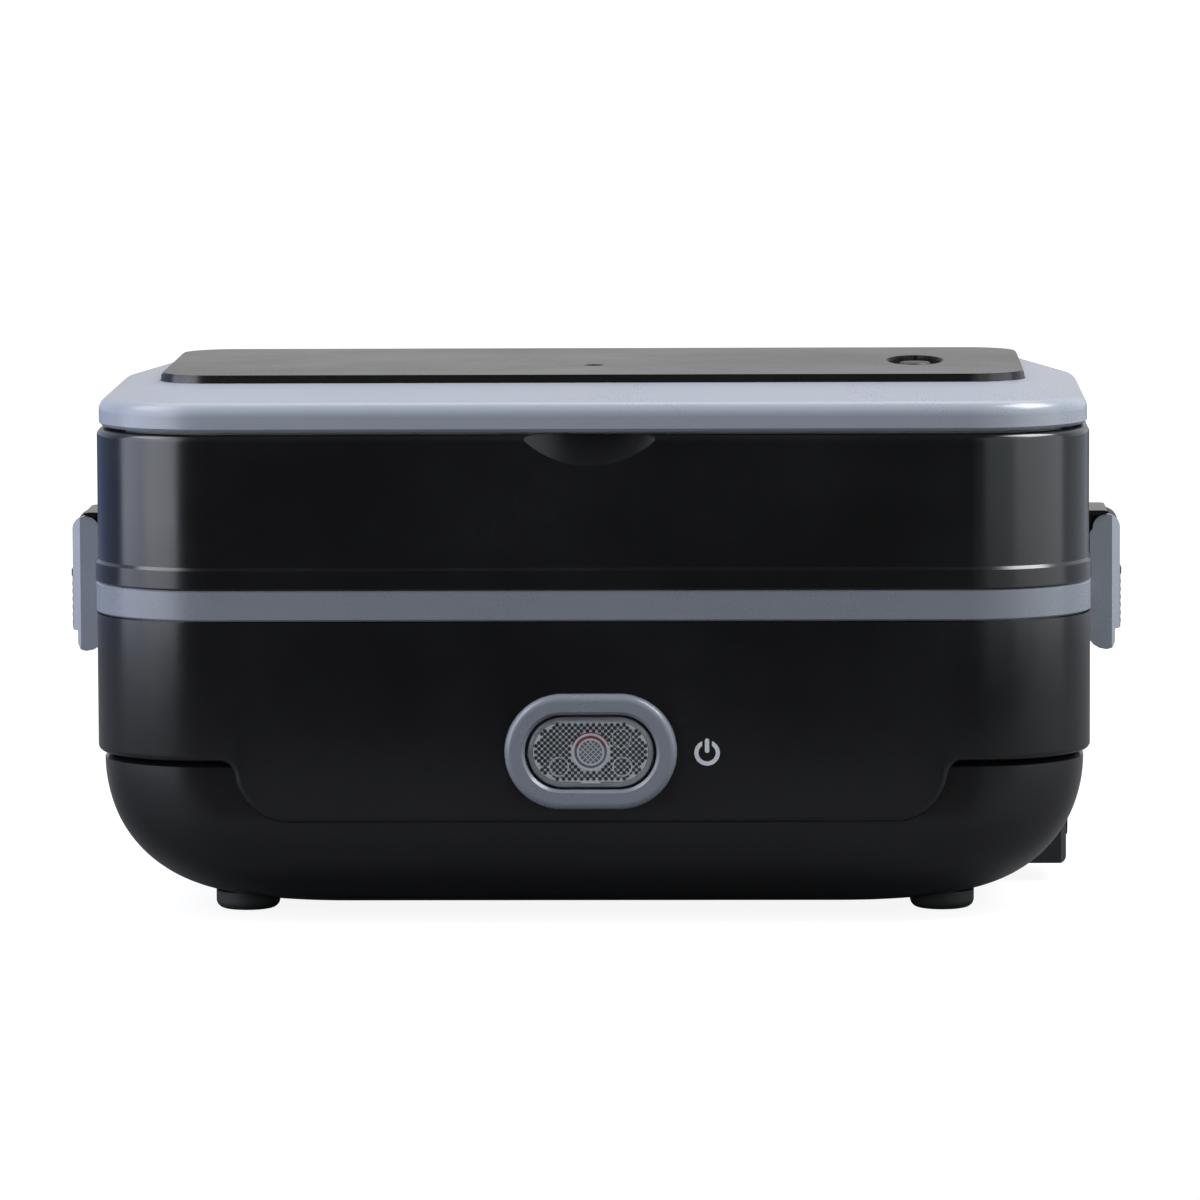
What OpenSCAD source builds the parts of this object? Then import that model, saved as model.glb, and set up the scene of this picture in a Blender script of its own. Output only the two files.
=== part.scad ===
// Electric lunch box: a heated base, an upper tier held down by two side latches,
// and a hinged lid with a steam-vent plug. The origin is under the middle of the
// base, on the plane that the feet stand on. +Z is up and the front faces -Y.

/* [Body] */
// Width of the upper shell
body_w = 225.2; // [215:0.1:235]
// Depth of the upper shell, front to back
body_d = 116; // [112:0.5:122]
// Radius of the upright corners
corner_r = 27; // [25:0.5:30]
// Thickness of the plastic walls
wall = 2.2; // [2:0.1:2.4]

/* [Heights] */
// Underside of the base above the table
bowl_bottom = 2.6; // [2.2:0.1:3]
// Lowest line of the front apron
apron_z = 23.2; // [21:0.2:26]
// Seam of base shell and bowl at the sides
seam_z = 37; // [35:0.5:38]
// Top of the base shell, where the grey collar starts
base_top = 68.7; // [68:0.1:69.4]
// Top of the grey collar
collar_top = 75.7; // [75:0.1:76.4]
// Top of the flared lip of the upper shell
lip_top = 80.3; // [79.5:0.1:82]
// Top of the upper shell
shell_top = 110.6; // [110:0.1:112]
// Height of the lid frame
frame_h = 10; // [9.5:0.1:10.5]
// How far the panel stands proud of the lid frame
panel_proud = 1.8; // [1.5:0.1:2]

/* [Lid] */
// Width of the lid frame's rim in plan
rim_w = 14; // [13:0.5:15]
// Fall of the rim's top from the panel to the shoulder
rim_drop = 3.2; // [2.5:0.1:4]
// Radius of the rim's rounded shoulder
shoulder_r = 3.2; // [2.8:0.1:4]
// Diameter of the small hole in the panel
panel_hole_d = 4.4; // [3:0.1:6]
// Middle of the vent plug, to the right of the centre
vent_x = 73.6; // [60:0.2:76]

/* [Latches] */
// Width of one latch along the side wall
latch_w = 21; // [20:0.5:26]
// Height of the latch pivot
latch_pivot_z = 85; // [84.6:0.1:85.1]
// Latch pivot, outwards from the shell wall
latch_pivot_out = 4.8; // [4.7:0.05:5]
// Lowest point of the lever
latch_tip_z = 57; // [56:0.1:58]

/* [Button] */
// Width of the bezel
bezel_w = 38.7; // [36:0.1:42]
// Height of the bezel
bezel_h = 26; // [24:0.1:28]
// Width of the bezel's opening
window_w = 29.3; // [28:0.1:31]
// Height of the bezel's opening
window_h = 16.9; // [16:0.1:18]
// Height of the bezel's middle above the table
button_z = 39.4; // [38.5:0.1:41]
// How far the bezel stands out of the front
bezel_proud = 2.7; // [2:0.1:3]
// Travel of the power key
key_travel = 1.5; // [1:0.1:1.6]

/* [Base] */
// Radius of the base's sweep under the left and right sides
side_sweep_r = 33; // [30:1:38]
// Radius of the base's sweep under the front and back
front_sweep_r = 22; // [18:1:24]
// Step in from the base shell to the bowl
step_in = 1.5; // [1.2:0.1:1.8]
// Diameter of a foot
foot_d = 14.6; // [12:0.1:16]
// Feet, left and right of the centre
foot_x = 79.3; // [70:0.1:80]
// Feet, in front of and behind the centre
foot_y = 28; // [22:0.5:29]

/* [Hidden] */

black = "#141416";
blue_grey = "#8b919d";
steel = "#c9ccd0";
silicone = "#e8e6e0";

hw = body_w / 2;
hd = body_d / 2;
// How far each band of the wall stands out of the upper shell
lip_out = 0.6;
collar_out = 0.4;
base_out = 0.3;
base_hw = hw + base_out;
base_hd = hd + base_out;
base_r = corner_r + base_out;
inside_hw = hw - wall;
inside_hd = hd - wall;
inside_r = corner_r - wall;

frame_bottom = shell_top + 0.6;
frame_top = frame_bottom + frame_h;
panel_top = frame_top + panel_proud;
panel_t = 3;
frame_in = 0.5;
frame_hw = hw - frame_in;
frame_hd = hd - frame_in;
frame_r = corner_r - frame_in;
panel_gap = 0.25;
frame_t = 2.4;
lean = atan(rim_drop / (rim_w - shoulder_r));
shoulder_z = frame_top - rim_drop - shoulder_r / cos(lean);
liner_top = frame_bottom + 2.6;
liner_screw_x = 84;
liner_screw_y = 30;

// Lid hinge: its reach behind the body equals the reach of the bezel in front
hinge_r = 2.4;
hinge_pin_r = 1;
hinge_y = base_hd + bezel_proud - hinge_r;
hinge_z = (shell_top + frame_bottom) / 2;
hinge_x = 60;
hinge_lid_half = 3.7;
hinge_half = 9;
hinge_relief_r = 2.9;
running = 0.05;

front_y = -base_hd;
key_gap = 0.35;
key_face_y = front_y - bezel_proud + 0.4;
key_t = 1.6;
key_depth = 5.6;
key_flange_t = 0.8;
lamp_front_y = key_face_y + key_t + key_travel + 0.3;
holder_y = front_y + 8.2;
holder_t = 1.4;

pan_flange_z = base_top - 0.5;
pan_hw = 98.5;
pan_hd = 44.2;
pan_r = 16;
pan_floor_z = 30;
pan_t = 1;
tray_t = 0.8;
lower_flange_z = 72.2;
collar_in = 10;
seal_low = collar_top - 2.1;
upper_floor_z = 77;
upper_flange_z = 107.6;
upper_tray_hw = 101.5;
upper_tray_hd = 47;

latch_x = hw + latch_pivot_out;
latch_r = 3.17;
latch_half = latch_w / 2 - 0.5;
hood_gap = 0.35;
latch_pin_r = 1.25;
lug_y = 7;
lug_t = 3;
lug_r = 2.2;
catch_z = 65;

inlet_y = 28;
inlet_z = 17;
inlet_face_x = 109.1;
inlet_w = 28;
inlet_low = 4.2;
inlet_high = 29;

screw_x = 60;
screw_y = 22;
arm_y = 51.5;
vent_y = 0.4;
vent_recess_w = 13.2;
vent_recess_l = 31.5;
plug_y = vent_y - 0.7;
plug_stem_r = 2.4;

$fn = 64;

// ---- Shared shapes ----

module rounded_rect(half_w, half_d, r) {
    square([2 * (half_w - r), 2 * half_d], center = true);
    if (half_d > r)
        square([2 * half_w, 2 * (half_d - r)], center = true);
    for (sx = [-1, 1])
        for (sy = [-1, 1])
            translate([sx * (half_w - r), sy * (half_d - r)])
                circle(r);
}

module slab(half_w, half_d, r, z0, z1) {
    translate([0, 0, z0])
        linear_extrude(z1 - z0)
            rounded_rect(half_w, half_d, r);
}

// A rounded rectangular ring, from the outer outline inwards by t
module ring(half_w, half_d, r, t, z0, z1) {
    translate([0, 0, z0])
        linear_extrude(z1 - z0)
            difference() {
                rounded_rect(half_w, half_d, r);
                rounded_rect(half_w - t, half_d - t, r - t);
            }
}

// Sweeps a profile round a rounded rectangle. The profile's x is its distance
// from the corner's axis, so that x = r is the outer face.
module sweep_round(half_w, half_d, r) {
    for (corner = [[1, 1, 0], [-1, 1, 90], [-1, -1, 180], [1, -1, 270]])
        translate([corner[0] * (half_w - r), corner[1] * (half_d - r), 0])
            rotate([0, 0, corner[2]])
                rotate_extrude(angle = 90)
                    children();
    for (side = [0, 180])
        rotate([0, 0, side]) {
            if (half_d > r)
                translate([half_w - r, half_d - r, 0])
                    rotate([90, 0, 0])
                        linear_extrude(2 * (half_d - r))
                            children();
            if (half_w > r)
                translate([-(half_w - r), half_d - r, 0])
                    rotate([90, 0, 90])
                        linear_extrude(2 * (half_w - r))
                            children();
        }
}

// A cylinder along X, along Y, or along Z, from its lower end
module rod_x(r, length) {
    rotate([0, 90, 0])
        cylinder(r = r, h = length);
}

module rod_y(r, length) {
    rotate([-90, 0, 0])
        cylinder(r = r, h = length);
}

module box(low, high) {
    translate(low)
        cube(high - low);
}

// Points of one ring of a loft, n to a corner
function ring_points(half_w, half_d, r, z, n) = [
    for (c = [[1, 1, 0], [-1, 1, 90], [-1, -1, 180], [1, -1, 270]])
        for (i = [0:n])
            let (a = c[2] + 90 * i / n)
                [c[0] * (half_w - r) + r * cos(a), c[1] * (half_d - r) + r * sin(a), z]
];

// Skins equal rings of points into one closed solid
module loft(rings) {
    m = len(rings[0]);
    last = len(rings) - 1;
    polyhedron(
        points = [for (one = rings) each one],
        faces = concat(
            [[for (i = [0:m - 1]) i]],
            [for (k = [0:last - 1], i = [0:m - 1])
                [k * m + i, (k + 1) * m + i, (k + 1) * m + (i + 1) % m]],
            [for (k = [0:last - 1], i = [0:m - 1])
                [k * m + i, (k + 1) * m + (i + 1) % m, k * m + (i + 1) % m]],
            [[for (i = [m - 1:-1:0]) last * m + i]]
        )
    );
}

// A round wire along a route of points, six-sided
function unit(v) = v / norm(v);
function along(route, i) = unit(route[min(i + 1, len(route) - 1)] - route[max(i - 1, 0)]);

module wire(route, r) {
    rings = [
        for (i = [0:len(route) - 1])
            let (
                t = along(route, i),
                u = unit(cross(t, abs(t[2]) > 0.8 ? [0, 1, 0] : [0, 0, 1])),
                v = cross(t, u)
            )
                [for (a = [0:60:300]) route[i] + r * cos(a) * u + r * sin(a) * v]
    ];
    loft(rings);
}

// How far a sweep of radius r, starting at z = low, has come in at height z
function swept_in(r, z, low) = let (drop = max(0, low + r - z)) r - sqrt(r * r - drop * drop);

// ---- Base ----

// The apron's lower outline ends in a round of apron_r, turned by apron_turn, and a small
// outward corner that runs just into the wall
apron_flat = 67.9;
apron_r = 12.5;
apron_turn = 82;
apron_steps = 12;
apron_toe_r = (seam_z + 0.15 - apron_z) / (1 - cos(apron_turn)) - apron_r;
apron_toe = [apron_flat, apron_z + apron_r]
    + (apron_r + apron_toe_r) * [sin(apron_turn), -cos(apron_turn)];

function apron_side() = concat(
    [
        for (i = [0:apron_steps])
            let (a = apron_turn * i / apron_steps)
                [apron_flat + apron_r * sin(a), apron_z + apron_r * (1 - cos(a))]
    ],
    [
        for (i = [apron_steps - 1:-1:0])
            let (a = apron_turn * i / apron_steps)
                apron_toe + apron_toe_r * [-sin(a), cos(a)]
    ],
    [[apron_toe[0], seam_z + 3]]
);

// The apron seen from the front
module apron_block() {
    side = apron_side();
    n = len(side);
    rotate([90, 0, 0])
        linear_extrude(2 * body_d, center = true)
            polygon(concat(side, [for (i = [n - 1:-1:0]) [-side[i][0], side[i][1]]]));
}

// What a rounding of radius r takes off a corner at [x, z]; the solid lies to the left,
// and above (up = 1) or below (up = -1)
module rounding(x, z, r, up) {
    difference() {
        translate([x - r, z - (up > 0 ? 1 : r)])
            square([r + 1, r + 1]);
        translate([x - r, z + up * r])
            circle(r, $fn = 48);
    }
}

// Wall of the base with a rounded lower edge
module base_wall_profile() {
    difference() {
        box_2d([base_r - wall, seam_z], [base_r, base_top - 0.2]);
        rounding(base_r, seam_z, 1.2, 1);
    }
}

module base_shell() {
    color(black) {
        difference() {
            union() {
                sweep_round(base_hw, base_hd, base_r)
                    base_wall_profile();
                // the thinner apron hangs over the bowl
                intersection() {
                    ring(base_hw, base_hd, base_r, step_in - 0.1, apron_z - 1, seam_z + 3);
                    apron_block();
                }
                // ledge that carries the pan's flange
                ring(base_hw - 1, base_hd - 1, base_r - 1, 7, pan_flange_z - 3, pan_flange_z);
                // posts that take the screws from below
                for (x = [-screw_x, screw_x])
                    for (y = [-screw_y, screw_y])
                        translate([x, y, 17])
                            cylinder(r = 4, h = 9);
                // arms that carry the posts: out, up past the pan and over the bowl's edge
                for (x = [-screw_x, screw_x])
                    for (turn = [0, 180])
                        rotate([0, 0, turn]) {
                            box([x - 2, screw_y, 24.5], [x + 2, arm_y, 27]);
                            box([x - 2, pan_hd + 1.8, 24.5], [x + 2, arm_y, seam_z + 3]);
                            box([x - 2, pan_hd + 1.8, seam_z + 1], [x + 2, base_hd - 0.5, seam_z + 3]);
                        }
            }
            for (x = [-screw_x, screw_x])
                for (y = [-screw_y, screw_y])
                    translate([x, y, 16])
                        cylinder(r = 1.25, h = 8);
            // window for the bezel's sleeve
            translate([0, front_y - 1, button_z])
                rotate([-90, 0, 0])
                    linear_extrude(2 * wall + 2)
                        rounded_rect(17, 10.8, 10.8);
        }
        // ribs that the latch hooks pull up against
        for (side = [-1, 1])
            translate([side > 0 ? base_hw - 0.5 : -base_hw - 1.5, -lug_y, catch_z])
                cube([2, 2 * lug_y, 1.8]);
    }
}

bowl_hw = base_hw - step_in;
bowl_hd = base_hd - step_in;
bowl_r = base_r - step_in;
bowl_levels = 12;
// depth of the pockets that the feet sit in, and the rounding of their lower edge
foot_set = 1.5;
foot_round = 2;

function bowl_ring(k, inset) =
    let (
        drop = side_sweep_r * (1 - cos(90 * k / bowl_levels)),
        low = bowl_bottom + inset,
        z = min(seam_z, low + drop),
        half_w = bowl_hw - inset - swept_in(side_sweep_r - inset, z, low),
        half_d = bowl_hd - inset - swept_in(front_sweep_r - inset, z, low)
    )
        ring_points(half_w, half_d, bowl_r - inset, z, 8);

module bottom_bowl() {
    color(black)
        difference() {
            union() {
                difference() {
                    loft([for (k = [0:bowl_levels]) bowl_ring(k, 0)]);
                    loft(concat(
                        [for (k = [0:bowl_levels]) bowl_ring(k, wall)],
                        [ring_points(bowl_hw - wall, bowl_hd - wall, bowl_r - wall, seam_z + 1, 8)]
                    ));
                }
                // bosses that the screws pass through
                for (x = [-screw_x, screw_x])
                    for (y = [-screw_y, screw_y])
                        translate([x, y, bowl_bottom + 1])
                            cylinder(r = 4, h = 13);
            }
            for (x = [-screw_x, screw_x])
                for (y = [-screw_y, screw_y]) {
                    translate([x, y, bowl_bottom - 1])
                        cylinder(r = 1.7, h = 16);
                    translate([x, y, bowl_bottom - 1])
                        cylinder(r = 3.2, h = 3.6);
                }
            // pockets for the feet
            for (x = [-foot_x, foot_x])
                for (y = [-foot_y, foot_y])
                    translate([x, y, bowl_bottom - 1])
                        cylinder(r = foot_d / 2 + 0.05, h = 1 + foot_set);
            // notch behind the bezel and the lamp holder
            box([-23, -base_hd, 26], [23, -base_hd + 10, seam_z + 2]);
            // opening for the inlet housing
            box(
                [86, inlet_y - inlet_w / 2 - 0.1, inlet_low - 0.1],
                [120, inlet_y + inlet_w / 2 + 0.1, inlet_high + 0.1]
            );
        }
}

module feet() {
    color("#101010")
        for (x = [-foot_x, foot_x])
            for (y = [-foot_y, foot_y])
                translate([x, y, 0])
                    rotate_extrude()
                        union() {
                            square([foot_d / 2 - foot_round, bowl_bottom + foot_set]);
                            translate([0, foot_round])
                                square([foot_d / 2, bowl_bottom + foot_set - foot_round]);
                            translate([foot_d / 2 - foot_round, foot_round])
                                circle(foot_round, $fn = 48);
                        }
}

module base_screws() {
    color(steel)
        for (x = [-screw_x, screw_x])
            for (y = [-screw_y, screw_y])
                translate([x, y, 0]) {
                    translate([0, 0, 3.2])
                        difference() {
                            cylinder(r = 2.9, h = 2);
                            for (a = [0, 90])
                                rotate([0, 0, a])
                                    translate([-1.7, -0.35, -0.5])
                                        cube([3.4, 0.7, 1.3]);
                        }
                    translate([0, 0, 5])
                        cylinder(r = 1.2, h = 17);
                }
}

// ---- Collar and seals between the tiers ----

module collar() {
    out = corner_r + collar_out;
    color(blue_grey)
        sweep_round(hw + collar_out, hd + collar_out, out)
            difference() {
                union() {
                    translate([out - collar_in, lower_flange_z - 1.4])
                        square([collar_in - 2, 1.4]);
                    translate([out - 5, base_top])
                        square([5, collar_top - base_top]);
                }
                // chamfers above and below the visible band
                for (z = [base_top, collar_top])
                    translate([out, z])
                        rotate(45)
                            square(0.6, center = true);
                // rebate over the pan's flange
                translate([out - 6, base_top - 1])
                    square([3.6, pan_flange_z + 0.8 - base_top + 1]);
                // groove of the seal between the tiers
                translate([out - collar_out - 4.3, seal_low])
                    square([2.6, 3]);
            }
}

module tier_seal() {
    color(silicone)
        ring(hw - 1.8, hd - 1.8, corner_r - 1.8, 2.4, seal_low, upper_floor_z);
}

// ---- Heating pan and what hangs under it ----

module heating_pan() {
    color(steel)
        difference() {
            union() {
                slab(base_hw - 2.6, base_hd - 2.6, base_r - 2.6, pan_flange_z, pan_flange_z + 0.8);
                slab(pan_hw, pan_hd, pan_r, pan_floor_z, pan_flange_z + 0.5);
                for (x = [-26, 26])
                    translate([x, 0, pan_floor_z - 8.6])
                        cylinder(r = 1.5, h = 9);
            }
            slab(pan_hw - pan_t, pan_hd - pan_t, pan_r - pan_t, pan_floor_z + pan_t, pan_flange_z + 2);
        }
}

module ptc_heater() {
    color("#b8b4a8") {
        box([-20, -14, pan_floor_z - 5], [20, 14, pan_floor_z]);
        for (side = [-1, 1])
            box([side * 8 - 2.4, 14, pan_floor_z - 3], [side * 8 + 2.4, 20, pan_floor_z - 2.2]);
    }
}

module heater_clamp() {
    color("#a9abae")
        difference() {
            union() {
                box([-31, -9, pan_floor_z - 6.2], [31, 9, pan_floor_z - 5]);
                for (side = [-1, 1])
                    box([side * 30.4 - 0.6, -9, pan_floor_z - 6.2], [side * 30.4 + 0.6, 9, pan_floor_z]);
            }
            for (x = [-26, 26])
                translate([x, 0, pan_floor_z - 8])
                    cylinder(r = 1.7, h = 6);
        }
}

module clamp_nuts() {
    color("#d8b25c")
        for (x = [-26, 26])
            translate([x, 0, pan_floor_z - 8.6])
                difference() {
                    cylinder(r = 3.1, h = 2.4, $fn = 6);
                    translate([0, 0, -1])
                        cylinder(r = 1.55, h = 5);
                }
}

module thermostat() {
    color("#2a2a2c") {
        translate([46, 0, pan_floor_z - 6])
            cylinder(r = 6.5, h = 6);
        for (side = [-1, 1])
            translate([46 + side * 8, 0, pan_floor_z - 3.6])
                cube([5, 4, 0.8], center = true);
    }
}

// Fuse with its leads, one bent to the heater's near tab
module thermal_fuse() {
    color("#dedbd0")
        translate([12, 24, pan_floor_z - 2.6])
            union() {
                rod_x(1.8, 12);
                translate([-4, 0, 0])
                    rod_x(0.4, 22);
                translate([-3.8, -3.9, 0])
                    rod_y(0.4, 4);
            }
}

// ---- Food trays ----

module tray(half_w, half_d, r, flange, z0, z1) {
    difference() {
        union() {
            slab(half_w, half_d, r, z0, z1);
            slab(half_w + flange, half_d + flange, r + flange, z1 - tray_t, z1);
        }
        slab(half_w - tray_t, half_d - tray_t, r - tray_t, z0 + tray_t, z1 + 1);
    }
}

module lower_tray() {
    color(steel)
        tray(pan_hw - 1.9, pan_hd - 1.9, pan_r - 1.5, 9.6, pan_floor_z + pan_t, lower_flange_z + tray_t);
}

module lower_tray_lid() {
    color("#d9dfe2")
        difference() {
            slab(106.4, 51.9, 22.6, lower_flange_z + tray_t, lower_flange_z + 3);
            ring(105, 50.5, 21.2, 2.2, lower_flange_z + 0.5, lower_flange_z + 1.8);
            translate([70, 0, lower_flange_z])
                cylinder(r = 1.5, h = 6);
        }
}

module lower_tray_seal() {
    color(silicone)
        ring(104.9, 50.4, 21.1, 2, lower_flange_z + tray_t, lower_flange_z + 1.7);
}

module upper_tray() {
    color("#c3c6c9")
        union() {
            tray(upper_tray_hw, upper_tray_hd, 17, 7, 80, upper_flange_z + tray_t);
            // divider of the two compartments
            box([20, -upper_tray_hd + 0.4, 80.4], [21.2, upper_tray_hd - 0.4, 104]);
        }
}

// ---- Upper shell with the latch brackets ----

module upper_wall_profile() {
    difference() {
        polygon([
            [corner_r - wall, upper_floor_z],
            [corner_r - wall, upper_flange_z - 4],
            [corner_r - 7, upper_flange_z - 1.6],
            [corner_r - 7, upper_flange_z],
            [corner_r - wall, upper_flange_z],
            [corner_r - wall, shell_top],
            [corner_r, shell_top],
            [corner_r, lip_top + 0.5],
            [corner_r + lip_out, lip_top - 0.2],
            [corner_r + lip_out, collar_top + 0.4],
            [corner_r + lip_out - 0.4, collar_top],
            [corner_r - 1.6, collar_top],
            [corner_r - 1.6, upper_floor_z]
        ]);
        rounding(corner_r, shell_top, 1.6, -1);
    }
}

// Bracket of one latch, on the right-hand wall
module latch_bracket() {
    difference() {
        union() {
            // thin hood that follows the lever's top
            translate([0, latch_w / 2, 0])
                rotate([90, 0, 0])
                    linear_extrude(latch_w)
                        difference() {
                            polygon([
                                [hw - 1, 89.1], [hw + 4.2, 89.1], [hw + 5, 88.95], [hw + 5.2, 88.3],
                                [latch_x, 87.5], [hw + 3, 87.2], [hw + 2.6, 88.1], [hw - 1, 88.1]
                            ]);
                            translate([latch_x, latch_pivot_z])
                                circle(latch_r + hood_gap);
                        }
            // two lugs that carry the pin
            for (side = [-1, 1])
                translate([0, side * (lug_y - lug_t / 2) + lug_t / 2, 0])
                    rotate([90, 0, 0])
                        linear_extrude(lug_t) {
                            translate([latch_x, latch_pivot_z])
                                circle(lug_r);
                            polygon([
                                [hw - 1, 88.5], [latch_x + 0.4, 88.5],
                                [latch_x + 2, latch_pivot_z + 0.9], [latch_x, latch_pivot_z],
                                [latch_x - 0.8, latch_pivot_z - 2.05], [hw + 0.9, latch_pivot_z - 3.5],
                                [hw - 1, latch_pivot_z - 6.8]
                            ]);
                        }
            // ribs under the hood
            for (y = [-9, 9])
                box([hw - 1, y - 0.6, latch_pivot_z + 0.5], [hw + 1.2, y + 0.6, 88.4]);
        }
        translate([latch_x, -latch_w / 2, latch_pivot_z])
            rod_y(latch_pin_r + running, latch_w);
    }
}

module upper_shell() {
    notch_r = 50;
    notch_out = 45;
    notch_z = 125.4;
    color(black)
        difference() {
            union() {
                sweep_round(hw, hd, corner_r)
                    upper_wall_profile();
                slab(inside_hw + 0.5, inside_hd + 0.5, inside_r + 0.5, upper_floor_z, upper_floor_z + 2);
                // block behind the finger notch
                box([-20, -hd + 1, 99], [20, -hd + 6.9, upper_flange_z]);
                box([-20, -hd + 1, 107], [20, -hd + 3.7, shell_top]);
                // hinge barrels and their webs
                for (x = [-hinge_x, hinge_x])
                    translate([x - hinge_half, 0, 0]) {
                        translate([0, hinge_y, hinge_z])
                            rod_x(hinge_r, 2 * hinge_half);
                        box([0, hd - 1.5, hinge_z - 4], [2 * hinge_half, hinge_y, hinge_z - 0.5]);
                        box([0, hinge_y - 0.01, hinge_z - 2.3], [2 * hinge_half, hinge_y + 0.5, hinge_z]);
                    }
                for (turn = [0, 180])
                    rotate([0, 0, turn])
                        latch_bracket();
            }
            // finger notch under the lid
            translate([0, -hd - notch_out, notch_z])
                sphere(notch_r);
            for (x = [-hinge_x, hinge_x]) {
                // room for the lid's barrel
                translate([x - hinge_lid_half - 0.35, hinge_y, hinge_z])
                    rod_x(hinge_relief_r, 2 * hinge_lid_half + 0.7);
                translate([x - hinge_half - 1, hinge_y, hinge_z])
                    rod_x(hinge_pin_r + running, 2 * hinge_half + 2);
            }
            // steam hole in the floor
            translate([70, 0, upper_floor_z - 1])
                cylinder(r = 2, h = 4);
        }
}

// ---- Mains inlet ----

module inlet_housing() {
    half = inlet_w / 2;
    color(black)
        difference() {
            // outline seen from the front, with rounded outer corners
            translate([0, inlet_y + half, 0])
                rotate([90, 0, 0])
                    linear_extrude(inlet_w)
                        union() {
                            box_2d([86, inlet_low], [inlet_face_x - 1.6, inlet_high]);
                            box_2d([86, inlet_low + 1.6], [inlet_face_x, inlet_high - 1.6]);
                            for (z = [inlet_low + 1.6, inlet_high - 1.6])
                                translate([inlet_face_x - 1.6, z])
                                    circle(1.6, $fn = 32);
                        }
            box(
                [80, inlet_y - half + 2, inlet_low + 2],
                [inlet_face_x - 2, inlet_y + half - 2, inlet_high - 2]
            );
            translate([inlet_face_x - 3, inlet_y, inlet_z])
                rotate([90, 0, 90])
                    linear_extrude(6)
                        rounded_rect(11, 7, 4);
            // chamfers on the upright outer edges
            for (side = [-1, 1])
                translate([inlet_face_x, inlet_y + side * half, inlet_z])
                    rotate([0, 0, 45])
                        cube([1.7, 1.7, 2 * inlet_w], center = true);
        }
}

module box_2d(low, high) {
    translate(low)
        square(high - low);
}

// Figure-of-eight outline of the lead's plug
module socket_outline(grow) {
    for (side = [-1, 1])
        translate([side * 4.3, 0])
            circle(3.9 + grow);
    square([8.6, 7.8 + 2 * grow], center = true);
}

module inlet_socket() {
    color("#0d0d0e")
        translate([91, inlet_y, inlet_z])
            rotate([90, 0, 90])
                difference() {
                    union() {
                        linear_extrude(inlet_face_x - 91 - 2.2)
                            rounded_rect(11.8, 7.8, 4.5);
                        linear_extrude(inlet_face_x - 91 + 0.4)
                            rounded_rect(10.8, 6.8, 3.8);
                    }
                    translate([0, 0, 4])
                        linear_extrude(20)
                            socket_outline(0);
                    for (side = [-1, 1])
                        translate([side * 4.3, 0, -1])
                            cylinder(r = 1.2, h = 8);
                }
}

module inlet_pins() {
    color("#d6c08a")
        for (side = [-1, 1])
            translate([87.5, inlet_y + side * 4.3, inlet_z])
                union() {
                    rod_x(1.2, 15);
                    translate([15, 0, 0])
                        sphere(1.2, $fn = 32);
                    translate([-1.5, -0.4, -1.6])
                        cube([3, 0.8, 3.2]);
                }
}

// ---- Power key, lamp and switch ----

module bezel_profile() {
    rim = (bezel_h - window_h) / 2;
    r = bezel_h / 2;
    difference() {
        union() {
            translate([r - rim, 0])
                square([rim, bezel_proud - 1.6]);
            translate([r - rim, 0])
                square([rim - 1.6, bezel_proud]);
            translate([r - 1.6, bezel_proud - 1.6])
                circle(1.6, $fn = 48);
            // sleeve through the wall
            translate([r - rim, -wall])
                square([2, wall + 0.1]);
        }
        translate([r - rim, bezel_proud])
            rotate(45)
                square(1, center = true);
        // the rounded edge stops at the wall
        translate([r - 3.4, -2])
            square([4, 2]);
    }
}

module button_bezel() {
    color(blue_grey)
        translate([0, front_y, button_z])
            rotate([90, 0, 0])
                sweep_round(bezel_w / 2, bezel_h / 2, bezel_h / 2)
                    bezel_profile();
}

module power_key() {
    half_w = window_w / 2 - key_gap;
    half_h = window_h / 2 - key_gap;
    color("#cfd4d8", 0.5)
        translate([0, key_face_y, button_z])
            rotate([-90, 0, 0])
                difference() {
                    union() {
                        translate([0, 0, 0.7])
                            linear_extrude(key_depth - 0.7)
                                rounded_rect(half_w, half_h, half_h);
                        linear_extrude(0.8)
                            rounded_rect(half_w - 0.7, half_h - 0.7, half_h - 0.7);
                        translate([0, 0, key_depth - key_flange_t])
                            linear_extrude(key_flange_t)
                                rounded_rect(half_w + 1.4, half_h + 1.4, half_h + 1.4);
                    }
                    difference() {
                        translate([0, 0, key_t])
                            linear_extrude(key_depth)
                                rounded_rect(half_w - 1.1, half_h - 1.1, half_h - 1.1);
                        // ring round the lamp, and four guide posts
                        cylinder(r = 4.15, h = key_depth - 0.6);
                        for (x = [-7, 7])
                            for (y = [-3.2, 3.2])
                                translate([x, y, 0])
                                    cylinder(r = 2, h = key_depth - 0.6);
                    }
                    translate([0, 0, key_t])
                        cylinder(r = 3.05, h = key_depth);
                }
}

// Two small return springs, shown as sleeves: they are hidden behind the key
module key_spring() {
    low = key_face_y + key_depth - 0.6;
    color(steel)
        for (x = [-7, 7])
            translate([x, low, button_z - 3.2])
                rotate([-90, 0, 0])
                    difference() {
                        cylinder(r = 1.6, h = holder_y - low);
                        translate([0, 0, -1])
                            cylinder(r = 1.2, h = holder_y - low + 2);
                    }
}

module neon_lamp() {
    color("#d8482e")
        translate([0, lamp_front_y, button_z])
            union() {
                rod_y(2.5, 7.6);
                for (side = [-1, 1])
                    translate([side, 7.5, 0])
                        rod_y(0.25, 3);
            }
}

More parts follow.
